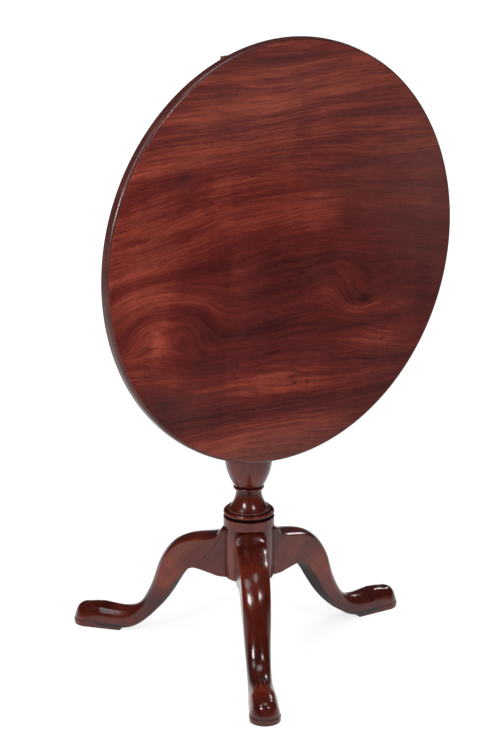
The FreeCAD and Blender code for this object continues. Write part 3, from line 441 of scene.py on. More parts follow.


# The face's wood: its grain drifts, falls and swirls round the knots, and soft patches make it
# lighter, darker and livelier, and lay a grey painted reflection over it.
def makeFaceWood():
    material, tree, surface = startMaterial("polishedFace", {
        "Specular IOR Level": topFace["specular"],
    })
    place = put(tree, "TexCoord").outputs["Object"]
    grain = place
    for waves, reach in topFace["drifts"]:
        drift = put(tree, "TexNoise", {
            "Vector": vectors(tree, "MULTIPLY", place, waves), "Scale": 1.0,
        }).outputs["Color"]
        drift = vectors(tree, "SUBTRACT", drift, (0.5, 0.5, 0.5))
        grain = vectors(tree, "ADD", grain, vectors(tree, "MULTIPLY", drift, (reach, 0, reach)))
    side = put(tree, "SeparateXYZ", {0: place}).outputs[0]
    fall = times(tree, side, topFace["fall"])
    grain = vectors(tree, "ADD", grain, put(tree, "CombineXYZ", {"Z": fall}).outputs[0])

    # Where a soft patch lies and how far it spreads, in metres.
    def patchAt(x, z, spreadX, spreadZ):
        return {"place": place, "centre": (x * metre, 0, z * metre),
                "spread": (spreadX * metre, 1, spreadZ * metre)}

    for x, z, spreadX, spreadZ, push in topFace["swirls"]:
        grain = useGroup(tree, swirlGroup, patchAt(x, z, spreadX, spreadZ) | {
            "grain": grain, "push": (0, 0, push * metre),
        })["grain"]

    # The total, plus each soft patch times its amount and the sign.
    def patches(rows, sign, total):
        for x, z, spreadX, spreadZ, amount in rows:
            mask = useGroup(tree, patchGroup, patchAt(x, z, spreadX, spreadZ))["mask"]
            total = maths(tree, "ADD", total, times(tree, mask, sign * amount))
        return total

    tone = patches(topFace["darks"], -1, patches(topFace["lights"], 1, topFace["tone"]))
    streaks = patches(topFace["lively"], 1, topFace["calm"])
    figure = useGroup(tree, figureGroup,
                      topFace | {"grain": grain, "tone": tone, "streaks": streaks})
    aged = useGroup(tree, ageGroup, topFace | {"place": place, "colour": figure["colour"]})
    # A grey painted reflection, with old wax bloom, laid over the colour in soft patches.
    veil = times(tree, patches(topFace["veils"], 1, 0.0), 1.0, clamp=True)
    colour = blended(tree, aged["colour"], topFace["veil"], veil)
    coat(tree, surface, colour, aged["roughness"], figure["height"], topFace["relief"])
    return material


# A seam on one side of a leg: dark where a point lies near the curve that runs from the top of
# the seam to its foot, out + across * t + bow * t * (1 - t), with t its share of the way down.
def seamMask(tree, place, seam):
    axes = put(tree, "SeparateXYZ", {0: place}).outputs
    way = maths(tree, "DIVIDE", maths(tree, "SUBTRACT", seam["top"], axes[2]), seam["fall"])
    inside = times(tree, ramped(tree, way, 0.0, 0.04),
                   maths(tree, "SUBTRACT", 1.0, ramped(tree, way, 0.94, 1.0)))
    bow = times(tree, times(tree, way, maths(tree, "SUBTRACT", 1.0, way)), seam["bow"])
    line = maths(tree, "ADD", times(tree, way, seam["across"]), seam["out"])
    line = maths(tree, "ADD", line, bow)
    away = maths(tree, "ABSOLUTE", maths(tree, "SUBTRACT", axes[0], line))
    near = maths(tree, "SUBTRACT", 1.0, ramped(tree, away, seam["wide"] * 0.3, seam["wide"]))
    near = times(tree, near, inside)
    return times(tree, near, ramped(tree, axes[1], *seam["side"]))


# Wood with painted light on a leg's flanks, dirt with painted shade in recesses, and a dark seam.
def makeWood(name, values):
    material, tree, surface = startMaterial(name, {"Specular IOR Level": values["specular"]})
    if "field" in values:
        place = put(tree, "Attribute", attribute_name=values["field"]).outputs["Vector"]
    else:
        place = put(tree, "TexCoord").outputs["Object"]
    grain = put(tree, "Mapping", {
        "Vector": place, "Rotation": values["turn"], "Location": values.get("shift", (0, 0, 0)),
    }).outputs[0]
    tone = values["tone"]
    # The flanks are painted lighter than the crown: painted light.
    if "flankLight" in values:
        flankLight = put(tree, "Attribute", attribute_name="flankLight").outputs["Fac"]
        tone = maths(tree, "ADD", times(tree, flankLight, values["flankLight"]), tone)
    figure = useGroup(tree, figureGroup, values | {"grain": grain, "tone": tone})
    recess = put(tree, "Attribute", attribute_name="recess").outputs["Fac"]
    height = figure["height"]
    if "seam" in values:
        seam = seamMask(tree, place, values["seam"])
        recess = maths(tree, "MAXIMUM", recess, seam)
        height = maths(tree, "SUBTRACT", height, times(tree, seam, values["seam"]["deep"]))
    aged = useGroup(tree, ageGroup,
                    values | {"place": place, "colour": figure["colour"], "recess": recess})
    coat(tree, surface, aged["colour"], aged["roughness"], height, values["relief"])
    return material


# How each wood is turned, its three colours, how strong its figure, its dirt with painted shade
# and its haze are, its roughness where it is smooth and where it is worn, and its relief in metres.
woods = {
    "polishedRim": {
        "specular": 0.4, "turn": (0, 0, 0), "tone": -0.05,
        "dark": (0.022, 0.005, 0.005, 1), "middle": (0.06, 0.014, 0.012, 1),
        "light": (0.12, 0.032, 0.024, 1), "bands": 0.7, "streaks": 0.7, "ripple": 0.3,
        "dirtAndShade": 0.6, "haze": 0.15, "dust": (0.1, 0.045, 0.04, 1), "smooth": 0.18,
        "rough": 0.35, "relief": 0.00008, "pores": 0.4, "fibres": 0.3,
    },
    "polishedTurning": {
        "specular": 0.4, "turn": upright, "tone": 0.0,
        "dark": (0.014, 0.002, 0.0015, 1), "middle": (0.08, 0.0085, 0.005, 1),
        "light": (0.2, 0.03, 0.012, 1), "bands": 1.1, "streaks": 0.7, "ripple": 0.6,
        "dirtAndShade": 0.95, "haze": 0.1, "dust": (0.1, 0.035, 0.03, 1), "smooth": 0.08,
        "rough": 0.2, "relief": 0.00006, "pores": 0.3, "fibres": 0.3,
    },
    "bareWood": {
        "specular": 0.2, "turn": (0, 0, 0), "tone": 0.0,
        "dark": (0.05, 0.02, 0.014, 1), "middle": (0.13, 0.055, 0.035, 1),
        "light": (0.24, 0.12, 0.075, 1), "bands": 0.9, "streaks": 0.8, "ripple": 0.3,
        "dirtAndShade": 0.6, "haze": 0.35, "dust": (0.16, 0.1, 0.075, 1), "smooth": 0.5,
        "rough": 0.75, "relief": 0.0003, "pores": 0.5, "fibres": 0.3,
    },
}
# Its flank amount is painted light: the flat sides lighter than the crown.
woods["polishedLeg"] = woods["polishedTurning"] | {
    "turn": (0, math.radians(-48), 0), "field": "legPlace", "streaks": 0.5, "ripple": 1.1,
    "haze": 0.06, "smooth": 0.115, "rough": 0.24, "tone": -0.15, "flankLight": 0.19,
    "middle": (0.08, 0.008, 0.0035, 1), "specular": 0.45,
}
# The undersides were never polished; their dark grey colours are painted shade and a dim
# painted reflection of the floor.
woods["shadedUnderside"] = woods["polishedLeg"] | {
    "specular": 0.06, "dark": (0.02, 0.012, 0.012, 1), "middle": (0.04, 0.024, 0.022, 1),
    "light": (0.07, 0.042, 0.036, 1), "smooth": 0.5, "rough": 0.7, "dust": (0.07, 0.06, 0.06, 1),
    "haze": 0.3, "relief": 0.0002,
}
# Painted shade in the narrow hollows of the turning, with the dirt that has settled there.
woods["hollowShadeAndDirt"] = woods["polishedTurning"] | {
    "specular": 0.02, "dark": (0.006, 0.002, 0.0015, 1), "middle": (0.016, 0.005, 0.004, 1),
    "light": (0.035, 0.012, 0.009, 1), "smooth": 0.5, "rough": 0.7, "relief": 0.0001,
    "dust": (0.03, 0.02, 0.018, 1),
}
# In metres, but for deep, which counts in times the wood's own relief. Side is how far across
# the leg the seam begins to show.
leftSeam = {
    "top": 0.222, "fall": 0.071, "out": 0.039, "across": 0.055, "bow": -0.020, "wide": 0.0011,
    "side": (0.018, 0.022), "deep": 3.0,
}

faceWood = makeFaceWood()
rimWood = makeWood("polishedRim", woods["polishedRim"])
pillarWood = makeWood("polishedTurning", woods["polishedTurning"])
hollowShadeAndDirt = makeWood("hollowShadeAndDirt", woods["hollowShadeAndDirt"])
bareWood = makeWood("bareWood", woods["bareWood"])
bareUpright = makeWood("bareWoodUpright", woods["bareWood"] | {"turn": upright})
shadedUnderside = makeWood("shadedUnderside", woods["shadedUnderside"])
print("woods made")


metals = {
    "agedBrass": {
        "bright": (0.62, 0.42, 0.16, 1), "dull": (0.2, 0.115, 0.045, 1), "amount": 0.7,
        "grain": 0.4, "smooth": 0.24, "rough": 0.48, "metallic": 1.0, "relief": 0.00006,
    },
    "blackIron": {
        "bright": (0.16, 0.15, 0.145, 1), "dull": (0.075, 0.04, 0.025, 1), "amount": 0.8,
        "grain": 1.0, "smooth": 0.45, "rough": 0.8, "metallic": 0.75, "relief": 0.0002,
    },
    "springSteel": {
        "bright": (0.5, 0.5, 0.52, 1), "dull": (0.22, 0.2, 0.19, 1), "amount": 0.4,
        "grain": 0.3, "smooth": 0.22, "rough": 0.42, "metallic": 1.0, "relief": 0.00003,
    },
}


# A metal whose tarnish runs from bright to dull.
def makeMetal(name, values):
    material, tree, surface = startMaterial(name, {"Metallic": values["metallic"]})
    place = put(tree, "TexCoord").outputs["Object"]
    aged = useGroup(tree, tarnishGroup, values | {"place": place})
    coat(tree, surface, aged["colour"], aged["roughness"], aged["height"], values["relief"])
    return material


agedBrass, blackIron, springSteel = (makeMetal(name, metals[name]) for name in metals)
print("metals made")


roundTop = {
    "centreHigh": 752, "face": -111, "thick": 20, "radius": 366, "faceRound": 6.5,
    "backRound": 4, "segments": 512, "rings": [0, 40, 120, 200, 270, 320, 345, 356.5],
    # points in the face's rounding, down the edge and in the back's rounding
    "edgePoints": (14, 4, 10),
    # how many rows of the rounding look like the face
    "faceRows": 3,
}


# The board's half outline, from the middle of its face round its edge to the middle of its
# back, turned about the axis through the middle of the face.
def buildTop():
    values = roundTop
    radius, thick = values["radius"], values["thick"]
    face, back = values["faceRound"], values["backRound"]
    # How far the middle of a quarter round lies from its corner, for each of its radius.
    cut = 1 - math.sqrt(0.5)
    faceCount, sideCount, backCount = values["edgePoints"]
    rings = np.array(values["rings"], float)
    front = np.stack([rings, 0 * rings], axis=-1)
    arc = arcThrough((radius - face, 0), (radius - face * cut, face * cut), (radius, face),
                     faceCount)
    side = straight((radius, face), (radius, thick - back), sideCount)
    turnIn = arcThrough((radius, thick - back), (radius - back * cut, thick - back * cut),
                        (radius - back, thick), backCount)
    rear = np.stack([rings[::-1], 0 * rings + thick], axis=-1)
    profile = np.concatenate([front, arc, side[1:], turnIn[1:], rear])
    ring = turned(profile * metre, values["segments"])
    points = np.stack([ring[..., 0], ring[..., 2] + values["face"] * metre,
                       ring[..., 1] + values["centreHigh"] * metre], axis=-1)
    ends = [len(front) + values["faceRows"], len(profile) - len(rear)]
    kind = np.searchsorted(ends, np.arange(len(profile) - 1), side="right")
    kind = np.repeat(kind, values["segments"])
    makePiece("roundTop", [{"points": points, "wrap": True, "kind": kind}],
              [faceWood, rimWood, bareWood], "top", ["table_top"])


buildTop()


# node: the leg's bearing and reach, and where in the figure its grain lies
legPlaces = {
    "leg_right": (-0.5, 335, (0.2, 0.1, 0)),
    "leg_left": (122.5, 342, (0.9, 0.5, 0.3)),
    "leg_front": (-122.2, 345, (0.5, 0.3, 0.7)),
}
pillar = {
    "edge": 0.7, "segments": 256, "arcPoints": 28, "linePoints": 5,
    # where painted shade with dirt, and bare wood, begin: how deep a hollow lies, and how high
    "hollowReach": 5.0, "shadedHollow": 0.6, "bareFrom": 661,
    "flatReach": 34.1, "flatTop": 232.7,
    # radius and height, then the arc's middle where an arc leaves the corner
    "corners": [
        (0, 137), (43.5, 137), (43.5, 233), (45.3, 233), (45.3, 250), (42.5, 250),
        (42.5, 255.4, 44.6, 256.2), (45.3, 258.4, 44.7, 260.5), (43.2, 262.2), (38.8, 262),
        (38.8, 266), (34.5, 266, 26.1, 280.75), (22.5, 295.5), (24.6, 302, 27.4, 304.25),
        (25.2, 306.5, 38.4, 335.5), (42.6, 367, 39.4, 382), (26.5, 397, 30.5, 400),
        (27, 403, 24.7, 507.4), (21.5, 611.7, 26.5, 616.2), (21, 620.7, 24.5, 640.4),
        (37, 654.7), (39.5, 654.7), (39.5, 660.7), (20, 660.7), (20, 690.4), (0, 690.4),
    ],
}


# How deep each point of a profile lies: 1 in a narrow hollow, where the line that joins the
# points on both sides of it passes well outside it, and 0 on a swelling.
def recessOf(profile, reach):
    run = runOf(profile)
    before = alongLine(profile, np.clip(run - reach, 0, run[-1]))
    after = alongLine(profile, np.clip(run + reach, 0, run[-1]))
    outside = (before[:, 0] + after[:, 0]) / 2 - profile[:, 0]
    return np.clip(outside / (0.35 * reach), 0, 1)


# The profile through the corners, its edges softened, turned about the pillar's axis.
def buildPillar():
    corners = pillar["corners"]
    lines = []
    for corner, following in zip(corners[:-1], corners[1:]):
        if len(corner) == 4:
            lines.append(arcThrough(corner[:2], corner[2:], following[:2], pillar["arcPoints"]))
        else:
            lines.append(straight(corner, following[:2], pillar["linePoints"]))
    profile = softened(lines, pillar["edge"])
    bearings = np.radians([bearing for bearing, _, _ in legPlaces.values()])

    # Flat where a leg stands against the base: there the radius is flatReach over the cosine
    # of the angle from the leg.
    def limit(radius, height, angle):
        nearest = np.cos(angle[None, :] - bearings[:, None]).max(axis=0)
        flat = pillar["flatReach"] / np.maximum(nearest, 0.1)
        return np.where(height < pillar["flatTop"], np.minimum(radius, flat), radius)

    points = turned(profile, pillar["segments"], limit) * metre
    depth = recessOf(profile, pillar["hollowReach"])
    recess = np.repeat(depth[:, None], pillar["segments"], axis=1)
    # Rows deep in a hollow get the near-black material: painted shade, with dirt.
    kind = ((depth[:-1] + depth[1:]) / 2 > pillar["shadedHollow"]).astype(int)
    kind[profile[1:, 1] > pillar["bareFrom"]] = 2
    makePiece("turnedPillar", [{
        "points": points, "wrap": True, "fields": {"recess": recess},
        "kind": np.repeat(kind, pillar["segments"]),
    }], [pillarWood, hollowShadeAndDirt, bareWood], "stand", ["pillar"])


buildPillar()


leg = {
    "flat": 34.1, "top": 233, "seat": 136, "thick": 54, "stations": 150, "toeBack": 27,
    "toeHalf": 25.5, "toeHigh": 39.5, "toeLow": 5, "toeCrown": 6, "toeFull": 0.72,
    "toeUnder": 1.2, "padThick": 10, "padLong": 102, "heelHalf": 21, "padHalf": 27,
    "padEdge": 1.2, "padCorner": 1.6, "padRows": [12, 6], "heelSlope": 5, "heelRun": 12,
    # points in half a section: underside, lower rounding, side, upper rounding and crown
    "sectionPoints": (5, 7, 15, 19, 4),
    # points round the toe, along a side of the pad and across its heel
    "toePoints": 49, "sidePoints": 14, "heelPoints": 9,
    # how often the rows are evened, and from which row
    "evened": 10, "evenedFrom": 12,
    # painted shade and dirt where the leg meets the pillar: up to this far out, fading over, and
    # how much; and over the sole pad
    "seatDirtAndShade": (44, 8, 0.2), "soleDirtAndShade": (13, 2.5),
    # where the flank's painted light begins across the leg, and over what it comes in
    "flankLight": (21, 3),
    # the foot is smoothed this far back from the toe and above this height
    "smoothed": (55, 17),
    # how many columns on each side of the underside's middle are unpolished and painted in shade
    "underColumns": 6,
    # crown out and rise, underside out and rise, thickness, width, height and fullness of the
    # upper rounding, size of the lower rounding
    "shares": [
        (0, 0.993, 0, 1, 1, 0.92, 0.086, 0.62, 0.05),
        (0.028, 0.988, 0.03, 1, 0.998, 0.92, 0.086, 0.62, 0.05),
        (0.042, 0.97, 0.048, 1, 0.996, 0.92, 0.087, 0.62, 0.05),
        (0.053, 0.943, 0.064, 1.004, 0.994, 0.92, 0.088, 0.62, 0.05),
        (0.075, 0.919, 0.088, 1.018, 0.99, 0.92, 0.09, 0.62, 0.05),
        (0.115, 0.9, 0.124, 1.036, 0.98, 0.92, 0.097, 0.62, 0.05),
        (0.186, 0.882, 0.17, 1.057, 0.965, 0.92, 0.105, 0.62, 0.05),
        (0.254, 0.863, 0.206, 1.068, 0.955, 0.92, 0.12, 0.62, 0.05),
        (0.312, 0.83, 0.239, 1.043, 0.945, 0.92, 0.14, 0.62, 0.05),
        (0.363, 0.779, 0.268, 0.982, 0.935, 0.92, 0.165, 0.62, 0.06),
        (0.405, 0.712, 0.292, 0.915, 0.925, 0.92, 0.19, 0.62, 0.07),
        (0.44, 0.631, 0.317, 0.846, 0.91, 0.91, 0.23, 0.63, 0.09),
        (0.469, 0.524, 0.347, 0.732, 0.885, 0.9, 0.3, 0.64, 0.12),
        (0.493, 0.429, 0.376, 0.618, 0.855, 0.89, 0.37, 0.66, 0.16),
        (0.524, 0.339, 0.415, 0.482, 0.82, 0.88, 0.43, 0.68, 0.2),
        (0.559, 0.26, 0.464, 0.342, 0.79, 0.87, 0.48, 0.7, 0.25),
        (0.596, 0.215, 0.522, 0.21, 0.77, 0.87, 0.52, 0.71, 0.3),
        (0.632, 0.192, 0.587, 0.096, 0.775, 0.87, 0.55, 0.71, 0.3),
        (0.674, 0.181, 0.648, 0.046, 0.81, 0.87, 0.6, 0.71, 0.2),
        (0.717, 0.179, 0.711, 0.037, 0.86, 0.87, 0.64, 0.71, 0.1),
        (0.786, 0.186, 0.786, 0.037, 0.905, 0.87, 0.68, 0.71, 0.06),
        (0.85, 0.188, 0.85, 0.037, 0.935, 0.87, 0.7, 0.72, 0.05),
    ],
}


# Numbers between the rows of a table: a cubic through each pair, with the slope at a row taken
# from the rows on both sides of it.
def betweenRows(knots, table, places):
    slopes = np.gradient(table, knots, axis=0)
    at = np.clip(np.searchsorted(knots, places) - 1, 0, len(knots) - 2)
    step = (knots[at + 1] - knots[at])[:, None]
    share = (places - knots[at])[:, None] / step
    low, high = table[at], table[at + 1]
    rise = high - low
    return (low + share * step * slopes[at] + share**2 * (3 * rise - step * (
        2 * slopes[at] + slopes[at + 1])) + share**3 * (step * (
            slopes[at] + slopes[at + 1]) - 2 * rise))


# Half a cross-section, from the middle of its underside to the middle of its crown: flat, a
# small round, the flat side, the wide upper round and the crown. One row for each station.
def halfSections(high, wide, edgeWide, edgeHigh, full, low):
    def line(x0, y0, x1, y1, share):
        return x0 + (x1 - x0) * share, y0 + (y1 - y0) * share

    underCount, lowCount, sideCount, upperCount, crownCount = leg["sectionPoints"]
    eased = (1 - np.cos(np.linspace(0, np.pi, sideCount))) / 2
    quarter = np.linspace(0, np.pi / 2, lowCount)
    parts = [line(0 * wide, -high, wide - low, -high, np.linspace(0, 1, underCount)[:-1])]
    parts.append((wide - low + low * np.sin(quarter), -high + low - low * np.cos(quarter)))
    parts.append(line(wide, -high + low, wide, high - edgeHigh, eased[1:-1]))
    share = np.linspace(0, 1, upperCount)

    # The quadratic curve through both ends that passes via halfway: its handle is twice via
    # less the mean of the ends.
    def bend(first, via, last):
        handle = 2 * via - (first + last) / 2
        return (1 - share) ** 2 * first + 2 * share * (1 - share) * handle + share**2 * last

    parts.append((bend(wide, wide - edgeWide + edgeWide * full, wide - edgeWide),
                  bend(high - edgeHigh, high - edgeHigh + edgeHigh * full, high)))
    parts.append(line(wide - edgeWide, high, 0 * wide, high, np.linspace(0, 1, crownCount)[1:]))
    parts = [np.broadcast_arrays(*part) for part in parts]
    return (np.concatenate([part[axis] for part in parts], axis=1) for axis in (0, 1))


# The leg from the pillar to the toe's middle: sections through the rows of shares, each rising
# from its underside point to its crown point, closed at the pillar end.
def legSkin(reach):
    table = np.array(leg["shares"])
    run = reach - leg["flat"]
    crown = np.stack([leg["flat"] + run * table[:, 0], leg["top"] * table[:, 1]], -1)
    under = np.stack([leg["flat"] + run * table[:, 2], leg["seat"] * table[:, 3]], -1)
    wide = leg["thick"] / 2 * table[:, 4]
    high = np.linalg.norm(crown - under, axis=1) / 2
    rows = np.column_stack([crown, under, wide, high * 2 * table[:, 6], wide * table[:, 5],
                            table[:, 7], wide * table[:, 8]])
    toeX = reach - leg["toeBack"]
    toe = [toeX, leg["toeHigh"], toeX, leg["toeLow"], leg["toeHalf"],
           leg["toeHigh"] - leg["padThick"], leg["toeHalf"] - leg["toeCrown"],
           leg["toeFull"], leg["toeUnder"]]
    rows = np.vstack([rows, toe])
    knots = runOf((rows[:, 0:2] + rows[:, 2:4]) / 2)
    rows = betweenRows(knots, rows, np.linspace(0, knots[-1], leg["stations"]))
    first = leg["evenedFrom"]
    for _ in range(leg["evened"]):
        rows[first:-1] = (rows[first - 1:-2] + 2 * rows[first:-1] + rows[first + 1:]) / 4
    crown, under = rows[:, None, 0:2], rows[:, None, 2:4]
    wide, edgeHigh, edgeWide, full, low = (rows[:, column, None] for column in range(4, 9))
    high = np.linalg.norm(crown - under, axis=-1) / 2
    across, up = halfSections(high, wide, edgeWide, edgeHigh, full, low)
    across = np.concatenate([across, -across[:, -2:0:-1]], axis=1)
    up = np.concatenate([up, up[:, -2:0:-1]], axis=1)
    share = (up / high + 1)[..., None] / 2
    flat = under + (crown - under) * share
    skin = np.stack([flat[..., 0], across, flat[..., 1]], axis=-1)
    start = np.broadcast_to(skin[:1].mean(axis=1, keepdims=True), skin[:1].shape)
    return np.concatenate([start, skin]), skin[-1]


# The toe: half of the last cross-section turned about the upright line through its middle.
def toeSkin(section, reach):
    half = section[: len(section) // 2 + 1]
    angle = np.linspace(-np.pi / 2, np.pi / 2, leg["toePoints"])[:, None]
    radius = half[:, 1][None, :]
    return np.stack([reach - leg["toeBack"] + radius * np.cos(angle), radius * np.sin(angle),
                     half[:, 2] + 0 * angle], axis=-1)


# The sole pad: an outline of heel, sides and round toe, carried up through rows that are set
# in at both edges. The heel leans back as it rises.
def padSkin(reach):
    toeX, heelX = reach - leg["toeBack"], reach - leg["padLong"]
    arc = arcThrough((toeX, -leg["padHalf"]), (reach, 0), (toeX, leg["padHalf"]),
                     leg["toePoints"])
    left, right = (heelX, leg["heelHalf"]), (heelX, -leg["heelHalf"])
    sides = [arc, straight(arc[-1], left, leg["sidePoints"]),
             straight(left, right, leg["heelPoints"]), straight(right, arc[0], leg["sidePoints"])]
    outline = softened(sides, leg["padCorner"], closed=True)
    ahead = np.roll(outline, -1, axis=0) - np.roll(outline, 1, axis=0)
    ahead /= np.linalg.norm(ahead, axis=1)[:, None]
    inward = np.stack([-ahead[:, 1], ahead[:, 0]], axis=-1)
    edge, thick, flatRows = leg["padEdge"], leg["padThick"], leg["padRows"]
    turn = np.linspace(0, np.pi / 2, 5)
    inset = np.concatenate([flatRows, edge * (1 - np.sin(turn)), edge * (1 - np.cos(turn)),
                            flatRows[::-1]])
    level = np.concatenate([[0, 0], edge * (1 - np.cos(turn)),
                            thick - edge * (1 - np.sin(turn)), [thick, thick]])
    flat = outline + inward * inset[:, None, None]
    run = leg["heelRun"]
    lean = np.clip((heelX + run - flat[..., 0]) / run, 0, 1) * leg["heelSlope"]
    flat[..., 0] += lean * (1 - level[:, None] / thick)
    skin = np.concatenate([flat, np.broadcast_to(level[:, None, None], flat.shape[:2] + (1,))], -1)
    ends = [np.broadcast_to(row.mean(axis=0), row.shape)[None] for row in (skin[0], skin[-1])]
    return np.concatenate([ends[0], skin, ends[1]])


# A leg from its three skins, turned to its bearing. The strip between the lower roundings is
# the unpolished underside, painted in shade.
def buildLeg(node, bearing, reach, shift):
    name = "cabriole" + node.title().replace("_", "")
    skin, section = legSkin(reach)
    grids = [(skin, True), (toeSkin(section, reach), False), (padSkin(reach), True)]
    angle = math.radians(bearing)
    spin = np.array([[math.cos(angle), math.sin(angle), 0],
                     [-math.sin(angle), math.cos(angle), 0], [0, 0, 1]])
    made = []
    for number, (points, wrap) in enumerate(grids):
        out, across, up = (points[..., axis] for axis in range(3))
        # The recess field paints shade, with dirt, where the leg meets the pillar and over the sole
        # pad.
        edge, fade, amount = leg["seatDirtAndShade"]
        recess = np.clip((edge - out) / fade, 0, 1) * amount
        if number < 2:
            edge, fade = leg["soleDirtAndShade"]
            recess = np.maximum(recess, np.clip((edge - up) / fade, 0, 1))
        kind = 0
        if number == 0:
            column = np.arange(points.shape[1])
            below = np.minimum(column, points.shape[1] - 1 - column) < leg["underColumns"]
            kind = np.tile(below.astype(int), len(points) - 1)
        edge, fade = leg["flankLight"]
        flankLight = np.clip((np.abs(across) - edge) / fade, 0, 1)
        back, above = leg["smoothed"]
        ease = (out > reach - back) & (up > above) & (number < 2)
        made.append({"points": points @ spin * metre, "wrap": wrap, "kind": kind, "fields": {
            "recess": recess, "flankLight": flankLight, "ease": ease.astype(float),
            "legPlace": points * metre}})
    values = woods["polishedLeg"] | {"shift": shift}
    if node == "leg_left":
        values["seam"] = leftSeam
    polished = makeWood(name + "Wood", values)
    makePiece(name, made, [polished, shadedUnderside], "stand", [node])


for node, values in legPlaces.items():
    buildLeg(node, *values)


# Every other piece keeps its CAD shape. Those with broad sharp edges get a copy whose loose
# triangles are joined into flat faces and whose edges are eased. The spring gets a copy whose
# edges are not eased, and the rest get a material only.
fittings = {
    # node: material, body, slot, how far its edges are eased
    "bearer_left": (bareUpright, "top", "under_wood", 1.2),
    "bearer_right": (bareUpright, "top", "under_wood", 1.2),
    "top_block": (bareWood, "stand", "under_wood", 1.0),
    "tenon_wedge": (bareWood, "stand", "under_wood", 0.2),
    "leg_strap": (blackIron, "stand", "iron", 0.4),
    "catch_plate": (agedBrass, "top", "brass", 0.3),
    "catch_case": (agedBrass, "top", "brass", 0.5),
    "catch_bolt": (agedBrass, "bolt", "brass", 0.3),
    "catch_keeper": (agedBrass, "stand", "brass", 0.3),
    "catch_spring": (springSteel, "top", "spring_steel", 0),
}
kept = {
    "bearer_screws": blackIron, "strap_screws": blackIron, "catch_screws": agedBrass,
    "keeper_screws": agedBrass, "catch_knob": agedBrass,
}


# A copy of a CAD piece, named after it in camel case. Where its edges are eased, by this many
# millimetres, its triangles are first joined into flat faces.
def easedCopy(node, material, body, slotName, ease):
    name = node[0] + node.title().replace("_", "")[1:]
    form = bmesh.new()
    form.from_mesh(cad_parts[node].data)
    bmesh.ops.remove_doubles(form, verts=form.verts, dist=weld)
    if ease:
        bmesh.ops.dissolve_limit(form, angle_limit=math.radians(1), verts=form.verts,
                                 edges=form.edges, delimit={"NORMAL"})
    mesh = bpy.data.meshes.new(name)
    form.to_mesh(mesh)
    form.free()
    mesh.materials.clear()
    mesh.materials.append(material)
    mesh.polygons.foreach_set("material_index", np.zeros(len(mesh.polygons), np.int32))
    mesh.shade_smooth()
    piece = addObject(name, mesh)
    if ease:
        soft = piece.modifiers.new("easedEdges", "BEVEL")
        soft.limit_method = "ANGLE"
        soft.angle_limit = math.radians(35)
        soft.width = ease * metre
        soft.segments = 2
        soft.harden_normals = True
    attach(piece, body)
    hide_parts(node)
    return piece


copies = {node: easedCopy(node, *values) for node, values in fittings.items()}
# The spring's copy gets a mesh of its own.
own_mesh(copies["catch_spring"])
for node, material in kept.items():
    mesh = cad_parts[node].data
    mesh.materials.clear()
    mesh.materials.append(material)
print("fittings dressed:", len(fittings) + len(kept))


studio = {
    "floorHalf": 9.0, "floor": 0.8,
    # the floor as it is seen: its own grey, and its glow near the table and far from it
    "floorSeen": 0.3, "glowNear": 0.8, "glowFar": 1.02, "glowRise": (0.7, 2.6),
    # how the glow fades in reflections
    "mirrorFade": (1.2, 3.2), "mirrorLoss": 0.8,
    # the world's light, and what reflections see at the horizon and above it
    "sky": 0.42, "low": 0.25, "high": 0.05, "wallHigh": 0.12,
    # direction from the table, distance, size, strength
    "lamps": [
        ("keyLeft", (-0.945, -0.328, 0.45), 2.7, 0.62, 37),
        ("keyFront", (-0.015, -1.0, 0.62), 2.8, 0.5, 16),
        ("backRight", (0.945, 0.328, 0.55), 2.8, 0.5, 11),
        ("overhead", (-0.05, -0.2, 0.97), 2.6, 1.3, 17),
        ("highLeft", (-0.68, 0.0, 0.74), 2.6, 1.1, 13),
    ],
    "lookAt": (0, 0, 0.45),
    "camera": (-2.63561, -3.51433, 1.91492), "ahead": (0.57199, 0.76163, -0.30455),
    "roll": -0.214, "lens": 126.946,
}


# Whether a ray comes from the camera or a reflection, which see what other rays don't, and
# whether it comes from the camera.
def seenDirectly(tree):
    path = put(tree, "LightPath").outputs
    seen = maths(tree, "MAXIMUM", path["Is Camera Ray"], path["Is Glossy Ray"])
    return maths(tree, "MAXIMUM", seen, path["Is Transmission Ray"]), path["Is Camera Ray"]


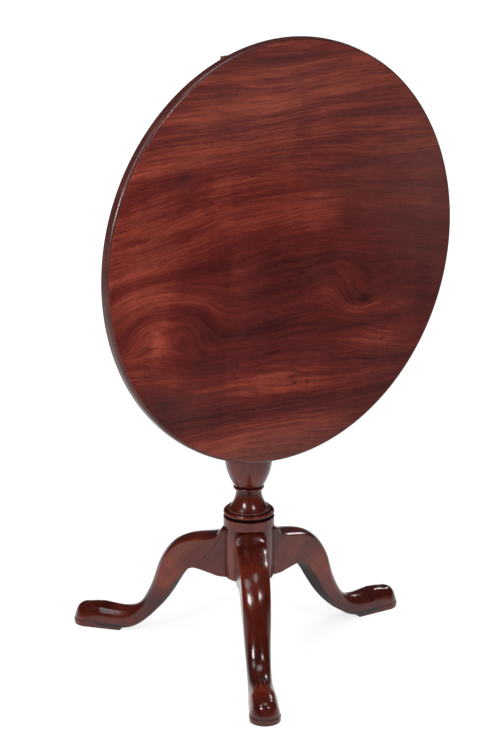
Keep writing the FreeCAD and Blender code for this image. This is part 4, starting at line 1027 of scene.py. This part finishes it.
# A pale floor that glows where it is seen. The glow rises away from the table, where the lamps
# fade, so that no horizon shows.
def buildFloor():
    mesh = bpy.data.meshes.new("floor")
    half = studio["floorHalf"]
    mesh.from_pydata([(-half, -half, 0), (half, -half, 0), (half, half, 0), (-half, half, 0)],
                     [], [(0, 1, 2, 3)])
    floor = addObject("floor", mesh)
    material = bpy.data.materials.new("paleFloor")
    tree = emptyTree(material)
    plain = put(tree, "BsdfDiffuse", {"Color": (studio["floor"],) * 3 + (1,)})
    lit = put(tree, "BsdfDiffuse", {"Color": (studio["floorSeen"],) * 3 + (1,)})
    out = put(tree, "VectorMath", {0: put(tree, "TexCoord").outputs["Object"]},
              operation="LENGTH").outputs["Value"]
    far = ramped(tree, out, *studio["glowRise"])
    level = between(tree, studio["glowNear"], studio["glowFar"], far)
    mirrored = put(tree, "LightPath").outputs["Is Glossy Ray"]
    edge = times(tree, ramped(tree, out, *studio["mirrorFade"]), mirrored)
    stays = maths(tree, "SUBTRACT", 1.0, times(tree, edge, studio["mirrorLoss"]))
    level = times(tree, level, stays)
    glow = put(tree, "Emission", {"Strength": level})
    white = put(tree, "AddShader", {0: lit.outputs[0], 1: glow.outputs[0]})
    seen, _ = seenDirectly(tree)
    mixed = put(tree, "MixShader", {0: seen, 1: plain.outputs[0], 2: white.outputs[0]})
    put(tree, "OutputMaterial", {"Surface": mixed.outputs[0]})
    mesh.materials.append(material)


# The world: even grey light, white to the camera, and in reflections a wall that is paler at
# the horizon than above it.
def buildWorld():
    world = bpy.data.worlds.new("studio")
    bpy.context.scene.world = world
    tree = emptyTree(world)
    seen, camera = seenDirectly(tree)
    upward = put(tree, "SeparateXYZ", {0: put(tree, "TexCoord").outputs["Generated"]}).outputs[2]
    wall = maths(tree, "SUBTRACT", 1.0, ramped(tree, upward, 0.0, studio["wallHigh"]))
    wall = maths(tree, "MAXIMUM", between(tree, studio["high"], studio["low"], wall), camera)
    level = put(tree, "Mix", {0: seen, 2: studio["sky"], 3: wall}, data_type="FLOAT").outputs[0]
    sky = put(tree, "Background", {"Color": (1, 1, 1, 1), "Strength": level})
    put(tree, "OutputWorld", {"Surface": sky.outputs[0]})


# Round lamps that all point at one place.
def buildLamps():
    aim = Vector(studio["lookAt"])
    for name, toward, distance, size, power in studio["lamps"]:
        lamp = bpy.data.lights.new(name, "AREA")
        lamp.shape = "DISK"
        lamp.size = size
        lamp.energy = power
        holder = addObject(name, lamp)
        holder.location = aim + Vector(toward).normalized() * distance
        holder.rotation_euler = (holder.location - aim).to_track_quat("Z", "Y").to_euler()


# The camera looks along "ahead", rolled by this many degrees about it.
def buildCamera():
    ahead = Vector(studio["ahead"]).normalized()
    right = ahead.cross(Vector((0, 0, 1))).normalized()
    up = right.cross(ahead)
    turn = math.radians(studio["roll"])
    sideways = right * math.cos(turn) + up * math.sin(turn)
    upward = up * math.cos(turn) - right * math.sin(turn)
    lens = bpy.data.cameras.new("camera")
    lens.lens = studio["lens"]
    holder = addObject("camera", lens)
    holder.matrix_world = Matrix.Translation(studio["camera"]) @ Matrix(
        (sideways, upward, -ahead)).transposed().to_4x4()
    bpy.context.scene.camera = holder


buildFloor()
buildWorld()
buildLamps()
buildCamera()
bpy.context.scene.view_settings.view_transform = "Standard"
print("studio ready")
